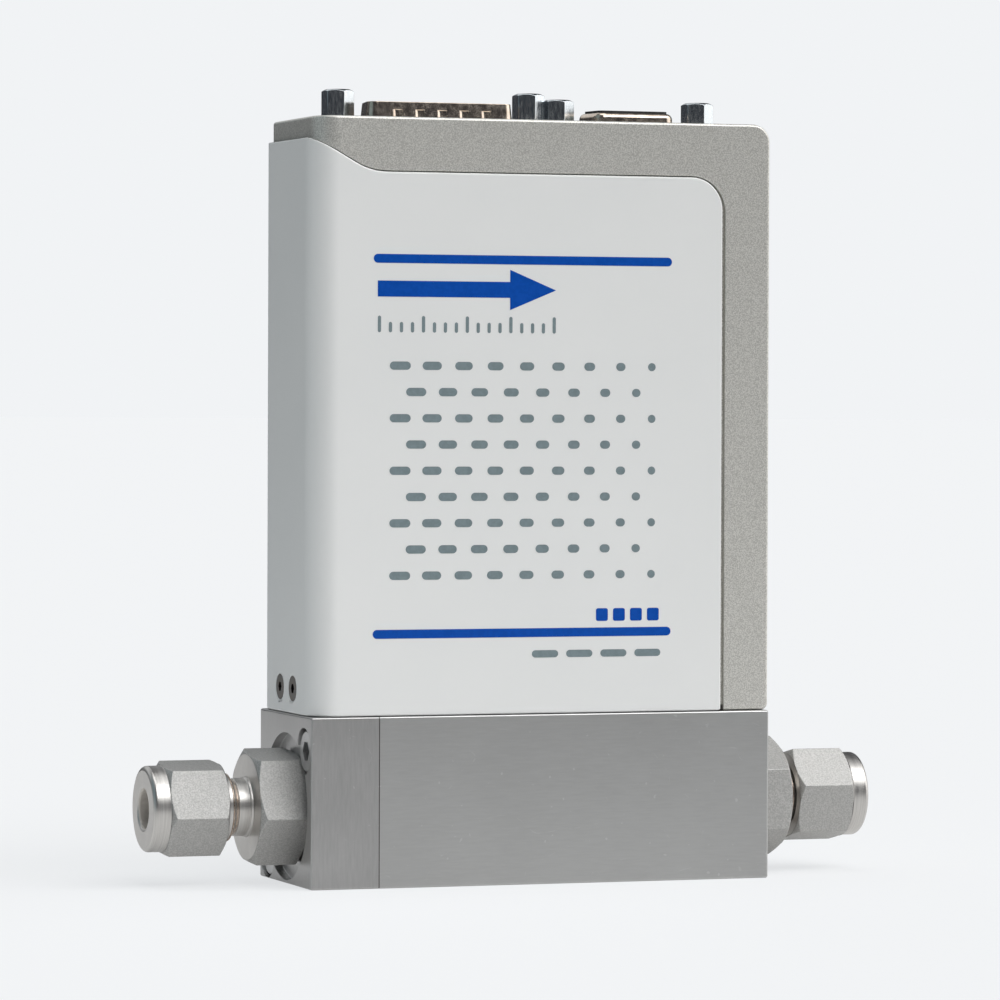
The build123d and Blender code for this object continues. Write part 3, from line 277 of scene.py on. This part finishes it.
def bare_metal(name, light, dark, scale, rough, grain_depth):
    """Machined metal: grain along one direction in colour, roughness and bump."""
    made, tree, shader, place = start_material(name, Metallic=1.0)
    grain = use(tree, GRAIN, {"Position": place, "Scale": scale})
    patch = use(tree, CLOUD, {"Position": place, "Low": -METAL_CLOUD, "High": METAL_CLOUD})
    tone = over_noise(tree, math(tree, "ADD", grain, patch), 0.0, 1.0)
    tree.links.new(mix_colour(tree, tone, dark, light), shader.inputs["Base Color"])
    tree.links.new(over_noise(tree, grain, *rough), shader.inputs["Roughness"])
    bump(tree, shader, grain, 0.35, grain_depth)
    return made


JOINT_X = max(corner.x for corner in corners_of("inlet_block"))
JOINT_HALF = 0.10 * MM
# painted shade: colour of the dark line painted along the gap between the inlet and main blocks
PAINTED_GAP_SHADE = (0.10, 0.09, 0.08, 1)
MARK_LIGHT = 0.78


def milled_block(name, scale, dark, light):
    """Milled stainless: even satin grey with a breath of grain, sparse arcs, pin specks, and painted
    shade along the gap between the blocks.
    """
    made, tree, shader, place = start_material(name, Metallic=1.0)
    grain = use(tree, GRAIN, {"Position": place, "Scale": scale})
    patch = use(tree, CLOUD, {"Position": place, "Low": -BLOCK_CLOUD, "High": BLOCK_CLOUD})
    arcs = use(tree, SCRATCH, {"Position": place, "Scale": (55.0, 120.0, 120.0), "Width": 0.0035})
    pins = use(tree, SPECK, {"Position": place, "Specks per metre": 1300.0, "Detail": 0.0})
    # painted shade: a thin dark line painted where the two blocks meet
    gap_shade = use(tree, GAP_SHADE_LINE, {"Position": place, "Place": JOINT_X, "Half width": JOINT_HALF})
    tone = ramp(tree, math(tree, "ADD", grain, patch), 0.2, 0.8, 0.0, 1.0)
    faint_arcs = math(tree, "MULTIPLY", arcs, 0.25)
    marks = math(tree, "MAXIMUM", faint_arcs, ramp(tree, pins, 0.82, 0.88, 0.0, 0.35))
    marked = mix_colour(tree, marks, mix_colour(tree, tone, dark, light), grey(MARK_LIGHT))
    tree.links.new(mix_colour(tree, gap_shade, marked, PAINTED_GAP_SHADE), shader.inputs["Base Color"])
    tree.links.new(over_noise(tree, grain, 0.31, 0.36), shader.inputs["Roughness"])
    bump(tree, shader, grain, 0.12, 0.00001)
    return made


COAT_SHADES = (0.812, 0.822, 0.814, 1), (0.830, 0.838, 0.828, 1)
FLAKE_SHADES = (0.550, 0.541, 0.504, 1), (0.800, 0.790, 0.746, 1)


def powder_coat():
    """White powder coat: satin, with a fine orange peel and faint warm and cool drift."""
    made, tree, shader, place = start_material("white_powder_coat", Specular_IOR_Level=0.5)
    peel = use(tree, SPECK, {"Position": place, "Specks per metre": 1900.0, "Detail": 1.0})
    drift = use(tree, CLOUD, {"Position": place, "Low": 0.0, "High": 1.0})
    colour = mix_colour(tree, drift, *COAT_SHADES)
    tree.links.new(colour, shader.inputs["Base Color"])
    tree.links.new(over_noise(tree, peel, 0.34, 0.42), shader.inputs["Roughness"])
    bump(tree, shader, peel, 0.08, 0.00002)
    return made


def cast_paint():
    """Grey metallic paint over a casting: a fine grit of bright and dark flakes."""
    made, tree, shader, place = start_material("grey_metallic_paint", Metallic=0.75)
    grit = use(tree, SPECK, {"Position": place, "Specks per metre": 5200.0, "Detail": 1.0})
    tone = ramp(tree, grit, 0.34, 0.66, 0.0, 1.0)
    tree.links.new(mix_colour(tree, tone, *FLAKE_SHADES), shader.inputs["Base Color"])
    tree.links.new(over_noise(tree, grit, 0.40, 0.50), shader.inputs["Roughness"])
    bump(tree, shader, grit, 0.30, 0.00003)
    return made


ROUGH_DRIFT = 0.06


def moulded(name, colour, rough, specks=2500.0, depth=0.00002):
    """Moulded plastic, rubber or laminate: one colour with fine texture."""
    made, tree, shader, place = start_material(name)
    speck = use(tree, SPECK, {"Position": place, "Specks per metre": specks, "Detail": 2.0})
    lighter = tuple(min(1.0, c * 1.35 + 0.004) for c in colour[:3]) + (1,)
    tree.links.new(mix_colour(tree, speck, colour, lighter), shader.inputs["Base Color"])
    tree.links.new(over_noise(tree, speck, rough - ROUGH_DRIFT, rough + ROUGH_DRIFT),
                   shader.inputs["Roughness"])
    bump(tree, shader, speck, 0.2, depth)
    return made


# distances from the flow axis: past the turned collars begin the flats, and the bore ends
BODY_FLATS = 8.68 * MM
NUT_FLATS = 7.10 * MM
BORE_TO = 3.35 * MM
FLATS_EDGE = 0.03 * MM
BORE_EDGE = 0.1 * MM
BEAD_SHADES = (0.45, 0.447, 0.436, 1), (0.57, 0.566, 0.552, 1)
TURNED_SHADES = (0.52, 0.505, 0.485, 1), (0.66, 0.645, 0.62, 1)
BORE_SHADE = (0.66, 0.62, 0.57, 1)


def rolled_bar(name, flats_from):
    """Stainless fitting: beaded matt flats on the hexagon, satin turned collars and necks."""
    made, tree, shader, place = start_material(name)
    radius = use(tree, AXIS, {"Position": place})
    flats = ramp(tree, radius, flats_from - FLATS_EDGE, flats_from + FLATS_EDGE, 0.0, 1.0)
    inside = ramp(tree, radius, BORE_TO, BORE_TO + BORE_EDGE, 1.0, 0.0)
    beads = use(tree, SPECK, {"Position": place, "Specks per metre": 4300.0, "Detail": 1.5})
    rings = use(tree, GRAIN, {"Position": place, "Scale": (7000.0, 120.0, 120.0)})
    beaded = mix_colour(tree, ramp(tree, beads, 0.35, 0.65, 0.0, 1.0), *BEAD_SHADES)
    turned = mix_colour(tree, over_noise(tree, rings, 0.0, 1.0), *TURNED_SHADES)
    colour = mix_colour(tree, flats, turned, beaded)
    tree.links.new(mix_colour(tree, inside, colour, BORE_SHADE), shader.inputs["Base Color"])
    ring_rough = over_noise(tree, rings, 0.31, 0.39)
    rough = math(tree, "ADD", ring_rough, math(tree, "MULTIPLY", flats, 0.28))
    rough = math(tree, "ADD", rough, math(tree, "MULTIPLY", inside, 0.35))
    tree.links.new(rough, shader.inputs["Roughness"])
    tree.links.new(ramp(tree, inside, 0.0, 1.0, 1.0, 0.2), shader.inputs["Metallic"])
    ring_relief = math(tree, "MULTIPLY", rings, 0.05)
    relief = math(tree, "ADD", math(tree, "MULTIPLY", beads, flats), ring_relief)
    bump(tree, shader, relief, 0.45, 0.00006)
    return made


# lines of grain per metre along X, Y and Z
TURNED_GRAIN = (2500.0, 300.0, 300.0)
EVEN_GRAIN = (900.0, 900.0, 900.0)
WOUND_GRAIN = (300.0, 300.0, 5000.0)
ALONG_FLOW = (260.0, 500.0, 2600.0)
UP_AND_DOWN = (2600.0, 2600.0, 240.0)
PLATE_GRAIN = (2200.0, 2200.0, 600.0)
CAN_GRAIN = (600.0, 600.0, 2500.0)
MAIN_BLOCK_SHADES = (0.50, 0.502, 0.497, 1), (0.545, 0.548, 0.542, 1)
INLET_BLOCK_SHADES = (0.43, 0.428, 0.425, 1), (0.50, 0.497, 0.493, 1)
WAXED_SHADES = (0.60, 0.50, 0.42, 1), (0.42, 0.33, 0.27, 1)


def make_materials():
    """One material for each of the record's slots."""
    return {
        "block_steel": milled_block("block_stainless", ALONG_FLOW, *MAIN_BLOCK_SHADES),
        "fitting_steel": rolled_bar("fitting_body_stainless", BODY_FLATS),
        "turned_steel": bare_metal("turned_stainless", grey(0.66), grey(0.55), TURNED_GRAIN,
                                   (0.25, 0.38), 0.00002),
        "screw_steel": bare_metal("screw_steel", grey(0.62), grey(0.52), EVEN_GRAIN,
                                  (0.28, 0.38), 0.00001),
        "dark_screw": bare_metal("dark_screw_steel", (0.16, 0.14, 0.12, 1), grey(0.07), EVEN_GRAIN,
                                 (0.30, 0.42), 0.00001),
        "zinc_plate": bare_metal("zinc_plate", (0.74, 0.775, 0.80, 1), (0.60, 0.64, 0.67, 1),
                                 PLATE_GRAIN, (0.14, 0.26), 0.00002),
        "tinned_shell": bare_metal("tin_plate", (0.84, 0.73, 0.62, 1), (0.62, 0.52, 0.43, 1),
                                   EVEN_GRAIN, (0.14, 0.26), 0.00002),
        "gold_contact": bare_metal("gold_contact", (0.85, 0.66, 0.30, 1), (0.70, 0.50, 0.22, 1),
                                   EVEN_GRAIN, (0.20, 0.30), 0.00001),
        "copper_wire": bare_metal("copper_wire", (0.70, 0.36, 0.20, 1), (0.45, 0.20, 0.10, 1),
                                  WOUND_GRAIN, (0.30, 0.40), 0.00004),
        "milled_aluminium": bare_metal("milled_aluminium", grey(0.80), grey(0.70), CAN_GRAIN,
                                       (0.30, 0.42), 0.00002),
        "cover_paint": powder_coat(),
        "frame_paint": cast_paint(),
        "black_plastic": moulded("black_plastic", (0.018, 0.018, 0.019, 1), 0.45),
        "chip_black": moulded("chip_package", (0.03, 0.03, 0.032, 1), 0.5),
        "circuit_board": moulded("solder_mask", (0.01, 0.12, 0.04, 1), 0.3, 900.0),
        "seal_rubber": moulded("seal_rubber", (0.015, 0.015, 0.015, 1), 0.6),
    }


MATERIALS = make_materials()
SLOT_OF = {part["node"]: part["material_slot"] for part in frame["record"]["subparts"]}


def dress(piece, material):
    """Give a new piece its material and its body."""
    piece.data.materials.clear()
    piece.data.materials.append(material)
    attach(piece, BODY)


OWN_FINISH = {
    "inlet_block": milled_block("inlet_block_stainless", UP_AND_DOWN, *INLET_BLOCK_SHADES),
    "inlet_tube_nut": rolled_bar("tube_nut_stainless", NUT_FLATS),
}
OWN_FINISH["outlet_tube_nut"] = OWN_FINISH["inlet_tube_nut"]


def finish_of(name):
    """A node's material: its own finish, or its slot's."""
    return OWN_FINISH.get(name, MATERIALS[SLOT_OF[name]])


for name, cad in NODES.items():
    cad.data.materials.clear()
    cad.data.materials.append(finish_of(name))

# ---- rounded copies of the visible CAD parts ----------------------------------------
SHARP_FROM = radians(25.0)
FLAT_WITHIN = radians(0.4)
WELD = 1e-6


def rounded(name, width, segments, clamp):
    """Copy of a CAD node with its sharp edges rounded, which then stands for the node."""
    mesh = NODES[name].data.copy()
    mesh.name = f"{name}_finished"
    mesh.attributes.remove(mesh.attributes["custom_normal"])
    work = bmesh.new()
    work.from_mesh(mesh)
    bmesh.ops.remove_doubles(work, verts=work.verts, dist=WELD)
    bmesh.ops.dissolve_limit(work, angle_limit=FLAT_WITHIN, verts=work.verts, edges=work.edges)
    for face in work.faces:
        face.smooth = True
    for edge in work.edges:
        edge.smooth = True
    work.to_mesh(mesh)
    work.free()
    piece = add_piece(mesh)
    bevel = piece.modifiers.new("edge_break", "BEVEL")
    bevel.width = width
    bevel.segments = segments
    bevel.limit_method = "ANGLE"
    bevel.angle_limit = SHARP_FROM
    bevel.use_clamp_overlap = clamp
    flat = piece.modifiers.new("flat_faces", "WEIGHTED_NORMAL")
    flat.weight = 100
    bpy.context.view_layer.update()
    applied = piece.evaluated_get(bpy.context.evaluated_depsgraph_get())
    done = bpy.data.meshes.new_from_object(applied)
    piece.modifiers.clear()
    piece.data = done
    dress(piece, finish_of(name))
    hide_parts(name)


# width of the broken edge, steps round it, and whether close edges hold it back
ROUNDED = {
    "cover": (0.35 * MM, 3, False), "case_frame": (0.12 * MM, 2, False),
    "main_block": (0.10 * MM, 2, False), "inlet_block": (0.10 * MM, 2, False),
    "inlet_tube_nut": (0.12 * MM, 2, False), "outlet_tube_nut": (0.12 * MM, 2, False),
    "inlet_fitting_body": (0.10 * MM, 2, False), "outlet_fitting_body": (0.10 * MM, 2, False),
    "plug_jack_posts": (0.08 * MM, 2, False), "socket_jack_posts": (0.08 * MM, 2, False),
    "plug_15_shell": (0.17 * MM, 3, True), "socket_9_shell": (0.12 * MM, 3, True),
}
for part_name, (edge_break, steps_round, held_back) in ROUNDED.items():
    rounded(part_name, edge_break, steps_round, held_back)

# ---- pressed dimples of the 15-way shell --------------------------------------------
DIMPLES = 5
DIMPLE_PITCH = 3.85 * MM
DIMPLE_W = 1.7 * MM
# heights over the case's roof
DIMPLE_LOW = 0.32 * MM
DIMPLE_HIGH = 1.68 * MM
# across each dimple: share of its width and depth of the pressed skin
DIMPLE_PROFILE = (
    (0.0, 0.0), (0.08, 0.03 * MM), (0.24, 0.19 * MM), (0.32, 0.23 * MM), (1.0, 0.38 * MM))


def pressed_dimples():
    """Smooth skin in each dimple of the plug's shell, front and back."""
    corners = corners_of("plug_15_shell")
    middle = sum(corner.x for corner in corners) / len(corners)
    roof = max(corner.z for corner in corners_of("case_frame"))
    between = middle + DIMPLE_PITCH / 2
    work = bmesh.new()
    for side in (-1, 1):
        low_y, high_y = (
            met_point("plug_15_shell", (between, side * OUTSIDE, roof + height), (0, -side, 0)).y
            for height in (DIMPLE_LOW, DIMPLE_HIGH))
        for count in range(DIMPLES):
            left = middle + (count - (DIMPLES - 1) / 2) * DIMPLE_PITCH - DIMPLE_W / 2
            rows = [[work.verts.new((left + share * DIMPLE_W, y - side * depth, roof + height))
                     for share, depth in DIMPLE_PROFILE]
                    for y, height in ((low_y, DIMPLE_LOW), (high_y, DIMPLE_HIGH))]
            for step in range(len(DIMPLE_PROFILE) - 1):
                work.faces.new((rows[0][step], rows[0][step + 1], rows[1][step + 1], rows[1][step]))
    mesh = bpy.data.meshes.new("plug_dimple_skins")
    work.to_mesh(mesh)
    work.free()
    for face in mesh.polygons:
        face.use_smooth = True
    dress(add_piece(mesh), MATERIALS["tinned_shell"])


pressed_dimples()

# ---- thread crests on the fitting necks ---------------------------------------------
THREAD_PITCH = 0.85 * MM
CREST_R = 0.14 * MM
CREST_STEPS = 72
SECTION_STEPS = 10
# first crest along the flow, number of crests, and the way towards the block
NECKS = {"inlet_fitting_body": (-51.1 * MM, 3, 1), "outlet_fitting_body": (48.5 * MM, 2, -1)}
THREAD_STEEL = bare_metal("waxed_thread", *WAXED_SHADES, EVEN_GRAIN, (0.22, 0.34), 0.00001)


def thread_crests(name, start, turns, inward):
    """Rings at the end of the thread that shows behind a tube nut."""
    for turn in range(turns):
        x = start + inward * turn * THREAD_PITCH
        place = met_point(name, (x, 0, OUTSIDE), (0, 0, -1))
        bpy.ops.mesh.primitive_torus_add(
            major_radius=place.z - FLOW_Z, minor_radius=CREST_R,
            major_segments=CREST_STEPS, minor_segments=SECTION_STEPS,
            location=(x, 0, FLOW_Z), rotation=(0, radians(90), 0))
        crest = bpy.context.object
        crest.name = f"{name}_thread_crest_{turn + 1}"
        bpy.ops.object.shade_smooth()
        dress(crest, THREAD_STEEL)


for neck, (thread_start, crest_count, inward_sign) in NECKS.items():
    thread_crests(neck, thread_start, crest_count, inward_sign)


def moving_spring():
    """Copy of the valve spring with a mesh of its own, which then stands for the CAD spring."""
    cad = NODES["valve_spring"]
    mesh = cad.data.copy()
    mesh.name = "valve_spring_coil"
    piece = add_piece(mesh)
    dress(piece, MATERIALS["screw_steel"])
    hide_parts("valve_spring")
    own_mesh(piece)


moving_spring()

# ---- print on the cover's front -----------------------------------------------------
FRONT_Y = -14.3 * MM
INK_LIFT = 0.03 * MM
INK_BLUE = (0.0, 0.066, 0.380, 1)
INK_GREY = (0.190, 0.242, 0.258, 1)
WORN = 1.12
PRINT_WELD = 1e-7


def ink(name, colour):
    """Screen-printed ink: one colour, slightly uneven, with less shine than the paint."""
    made, tree, shader, place = start_material(name, Specular_IOR_Level=0.2)
    speck = use(tree, SPECK, {"Position": place, "Specks per metre": 1500.0, "Detail": 2.0})
    worn = tuple(min(1.0, value * WORN) for value in colour[:3]) + (1,)
    tree.links.new(mix_colour(tree, ramp(tree, speck, 0.35, 0.65, 0, 1), colour, worn),
                   shader.inputs["Base Color"])
    tree.links.new(over_noise(tree, speck, 0.32, 0.42), shader.inputs["Roughness"])
    return made


def capsule(left, right, low, high, radius, steps=10):
    """Outline of a rounded bar in (x, z), anticlockwise seen from the front."""
    radius = min(radius, (right - left) / 2, (high - low) / 2)
    points = []
    for mid_x, mid_z, start in ((right - radius, low + radius, -90), (right - radius, high - radius, 0),
                                (left + radius, high - radius, 90), (left + radius, low + radius, 180)):
        for step in range(steps + 1):
            angle = radians(start + 90 * step / steps)
            points.append((mid_x + radius * cos(angle), mid_z + radius * sin(angle)))
    return points


def printed(name, outlines, material):
    """Thin print on the cover's front face from closed outlines in millimetres."""
    mesh = bpy.data.meshes.new(name)
    work = bmesh.new()
    for outline in outlines:
        corners = [work.verts.new((x * MM, FRONT_Y - INK_LIFT, z * MM)) for x, z in outline]
        work.faces.new(corners)
    bmesh.ops.remove_doubles(work, verts=work.verts, dist=PRINT_WELD)
    work.to_mesh(mesh)
    work.free()
    dress(add_piece(mesh), material)


blue_ink = ink("blue_ink", INK_BLUE)
grey_ink = ink("grey_ink", INK_GREY)

# two rules across the front; all measures of the print are in millimetres
RULE_LEFT = -29.6
RULE_RIGHT = 22.3
RULE_T = 1.45
RULE_ZS = (102.5, 41.4)
printed("print_rules", [
    capsule(RULE_LEFT, RULE_RIGHT, mid - RULE_T / 2, mid + RULE_T / 2, RULE_T / 2)
    for mid in RULE_ZS], blue_ink)

# flow direction arrow and a plain scale under it
ARROW_LEFT = -28.9
ARROW_RIGHT = 1.9
ARROW_Z = 97.6
SHAFT_HALF = 1.3
HEAD_HALF = 3.3
HEAD_L = 8.0
printed("print_flow_arrow", [[
    (ARROW_LEFT, ARROW_Z - SHAFT_HALF), (ARROW_RIGHT - HEAD_L, ARROW_Z - SHAFT_HALF),
    (ARROW_RIGHT - HEAD_L, ARROW_Z - HEAD_HALF), (ARROW_RIGHT, ARROW_Z),
    (ARROW_RIGHT - HEAD_L, ARROW_Z + HEAD_HALF), (ARROW_RIGHT - HEAD_L, ARROW_Z + SHAFT_HALF),
    (ARROW_LEFT, ARROW_Z + SHAFT_HALF)]], blue_ink)
TICKS = 17
LONG_TICK_EVERY = 4
TICK_HALF = 0.28
TICK_LOW = 90.5
TICK_HIGH = 92.2
LONG_TICK_HIGH = 93.2
SCALE_INSET = 0.3
ticks = []
for count in range(TICKS):
    mid_x = ARROW_LEFT + SCALE_INSET + (ARROW_RIGHT - ARROW_LEFT - 2 * SCALE_INSET) * count / (TICKS - 1)
    tick_top = TICK_HIGH if count % LONG_TICK_EVERY else LONG_TICK_HIGH
    ticks.append(capsule(mid_x - TICK_HALF, mid_x + TICK_HALF, TICK_LOW, tick_top, TICK_HALF, 4))
printed("print_ticks", ticks, grey_ink)

# staggered dashes that shorten along the flow
DASH_LEFT = -25.0
DASH_SPAN = 43.8
DASH_LOW = 50.9
DASH_HIGH = 85.1
DASH_ROWS = 9
DASH_COLUMNS = 9
DASH_T = 1.35
DASH_LONGEST = 3.6
DASH_SHORTENS = 2.25
dashes = []
for row in range(DASH_ROWS):
    shift = (row % 2) / 2
    for column in range(DASH_COLUMNS - row % 2):
        share = (column + shift) / (DASH_COLUMNS - 1)
        length = DASH_LONGEST - DASH_SHORTENS * share
        mid_x = DASH_LEFT + DASH_SPAN * share
        mid_z = DASH_LOW + (DASH_HIGH - DASH_LOW) * row / (DASH_ROWS - 1)
        dashes.append(capsule(mid_x - length / 2, mid_x + length / 2, mid_z - DASH_T / 2,
                              mid_z + DASH_T / 2, DASH_T / 2, 5))
printed("print_dashes", dashes, grey_ink)

# four squares over the lower rule, and four bars under it
SQUARE = 2.1
SQUARE_CORNER = 0.35
SQUARE_LOW = 43.2
SQUARE_LEFTS = (9.1, 12.1, 15.1, 18.1)
printed("print_blocks", [
    capsule(x, x + SQUARE, SQUARE_LOW, SQUARE_LOW + SQUARE, SQUARE_CORNER, 4)
    for x in SQUARE_LEFTS], blue_ink)
BAR_L = 4.6
BAR_T = 1.2
BAR_LOW = 37.3
BAR_LEFTS = (-2.1, 3.9, 9.9, 15.9)
printed("print_bars", [
    capsule(x, x + BAR_L, BAR_LOW, BAR_LOW + BAR_T, BAR_T / 2, 6)
    for x in BAR_LEFTS], grey_ink)

# ---- studio -------------------------------------------------------------------------
CAMERA_PLACE = (-0.294855, -0.829589, 0.078664)
CAMERA_YAW = 19.401
CAMERA_PITCH = 1.025
CAMERA_ROLL = 0.204
CAMERA_LENS = 190.026
BACKDROP = (0.880, 0.897, 0.914)


def add_camera():
    """Near-level view on the front and inlet end."""
    data = bpy.data.cameras.new("camera")
    data.lens = CAMERA_LENS
    data.sensor_width = 36.0
    data.clip_start = 0.01
    data.clip_end = 100.0
    camera = bpy.data.objects.new("camera", data)
    camera.location = CAMERA_PLACE
    heading = Matrix.Rotation(radians(-CAMERA_YAW), 3, "Z")
    tilt = Matrix.Rotation(radians(90 - CAMERA_PITCH), 3, "X")
    roll = Matrix.Rotation(radians(CAMERA_ROLL), 3, "Z")
    camera.rotation_euler = (heading @ tilt @ roll).to_euler()
    bpy.context.scene.collection.objects.link(camera)
    bpy.context.scene.camera = camera


# the floor as the camera sees it, and as the object does: a lit disc in a dark room
FLOOR_SEEN_GLOW = 0.762
FLOOR_SEEN_ALBEDO = 0.22
FLOOR_LIT_ALBEDO = 0.53
FLOOR_LIT_GLOW = 0.28
DISC_R = 0.75
DISC_EDGE = 0.06
FLOOR_SIZE = 60.0
FLOOR_Z = -0.05 * MM


def add_floor():
    """Wide pale floor that meets the backdrop, with the faint shadow of soft lights."""
    bpy.ops.mesh.primitive_plane_add(size=FLOOR_SIZE, location=(0, 0, FLOOR_Z))
    floor = bpy.context.object
    floor.name = "floor"
    made, tree, shader, place = start_material("pale_floor", Roughness=1.0, Specular_IOR_Level=0.0)
    seen = tree.nodes.new("ShaderNodeLightPath").outputs["Is Camera Ray"]
    away = node(tree, "ShaderNodeVectorMath", {0: place}, operation="LENGTH").outputs["Value"]
    disc = ramp(tree, away, DISC_R - DISC_EDGE, DISC_R + DISC_EDGE, 1.0, 0.0)
    albedo = mix_colour(tree, seen, mix_colour(tree, disc, grey(0.03), grey(FLOOR_LIT_ALBEDO)),
                        grey(FLOOR_SEEN_ALBEDO))
    lit_glow = mix_colour(tree, disc, grey(0.0), grey(FLOOR_LIT_GLOW))
    seen_glow = tuple(value * FLOOR_SEEN_GLOW for value in BACKDROP) + (1,)
    tree.links.new(albedo, shader.inputs["Base Color"])
    tree.links.new(mix_colour(tree, seen, lit_glow, seen_glow), shader.inputs["Emission Color"])
    shader.inputs["Emission Strength"].default_value = 1.0
    floor.data.materials.append(made)


def make_softbox_group():
    """Soft-edged panel on the sky: 1 inside a span of heading and height, in degrees."""
    tree, source, sink = group("softbox", [
        ("Direction", VECTOR, None), ("Heading", FLOAT, 0.0), ("Half width", FLOAT, 20.0),
        ("Low", FLOAT, 0.0), ("High", FLOAT, 40.0), ("Edge", FLOAT, 5.0)], [("Mask", FLOAT)])
    at = source.outputs
    turn = math(tree, "RADIANS", math(tree, "MULTIPLY", at["Heading"], -1.0))
    turned = node(tree, "ShaderNodeVectorRotate", {"Vector": at["Direction"], "Angle": turn},
                  rotation_type="Z_AXIS")
    split = node(tree, "ShaderNodeSeparateXYZ", {0: turned.outputs[0]})
    bearing = math(tree, "ARCTAN2", split.outputs["Y"], split.outputs["X"])
    side = math(tree, "ABSOLUTE", math(tree, "DEGREES", bearing))
    height = math(tree, "DEGREES", math(tree, "ARCSINE", split.outputs["Z"]))

    def step(value, edge, sign):
        """Smooth step over one edge, rising for sign 1 and falling for sign -1."""
        start = math(tree, "SUBTRACT", edge, at["Edge"])
        end = math(tree, "ADD", edge, at["Edge"])
        rise = (0.0, 1.0) if sign > 0 else (1.0, 0.0)
        return ramp(tree, value, start, end, *rise)

    inside = math(tree, "MULTIPLY", step(height, at["Low"], 1), step(height, at["High"], -1))
    mask = math(tree, "MULTIPLY", inside, step(side, at["Half width"], -1))
    tree.links.new(mask, sink.inputs["Mask"])
    return tree


# soft boxes of the studio: heading, half width, low and high edge, edge softness, colour, strength
SOFTBOXES = (
    (352.0, 28.0, -5.0, 50.0, 5.0, (1.0, 0.99, 0.97), 1.55),
    (300.0, 45.0, 34.0, 62.0, 7.0, (1.0, 1.0, 1.0), 4.10),
    (180.0, 30.0, 0.0, 60.0, 10.0, (0.7, 1.0, 1.1), 0.25),
    (110.0, 35.0, 17.0, 54.0, 7.0, (0.97, 0.99, 1.0), 0.70),
    (180.0, 180.0, 72.0, 120.0, 10.0, (1.0, 1.0, 1.0), 2.20),
)
ROOM = (0.052, 0.055, 0.062)


def add_world():
    """Dark room with soft boxes for the metal to mirror; the camera itself sees an even backdrop."""
    world = bpy.data.worlds.new("studio")
    bpy.context.scene.world = world
    world.use_nodes = True
    tree = world.node_tree
    tree.nodes.clear()
    softbox = make_softbox_group()
    direction = tree.nodes.new("ShaderNodeTexCoord").outputs["Generated"]
    total = ROOM
    for heading, half, low, high, edge, colour, strength in SOFTBOXES:
        mask = use(tree, softbox, {"Direction": direction, "Heading": heading, "Half width": half,
                                   "Low": low, "High": high, "Edge": edge})
        lamp = node(tree, "ShaderNodeVectorMath", {
            0: tuple(value * strength for value in colour), "Scale": mask}, operation="SCALE")
        summed = node(tree, "ShaderNodeVectorMath", {0: total, 1: lamp.outputs[0]}, operation="ADD")
        total = summed.outputs[0]
    glow = node(tree, "ShaderNodeBackground", {"Color": total, "Strength": 1.0})
    even = node(tree, "ShaderNodeBackground", {"Color": BACKDROP + (1,), "Strength": 1.0})
    path = tree.nodes.new("ShaderNodeLightPath")
    mixed = node(tree, "ShaderNodeMixShader", {
        0: path.outputs["Is Camera Ray"], 1: glow.outputs[0], 2: even.outputs[0]})
    out = tree.nodes.new("ShaderNodeOutputWorld")
    tree.links.new(mixed.outputs[0], out.inputs["Surface"])


add_camera()
add_floor()
add_world()
bpy.context.scene.view_settings.view_transform = "Standard"
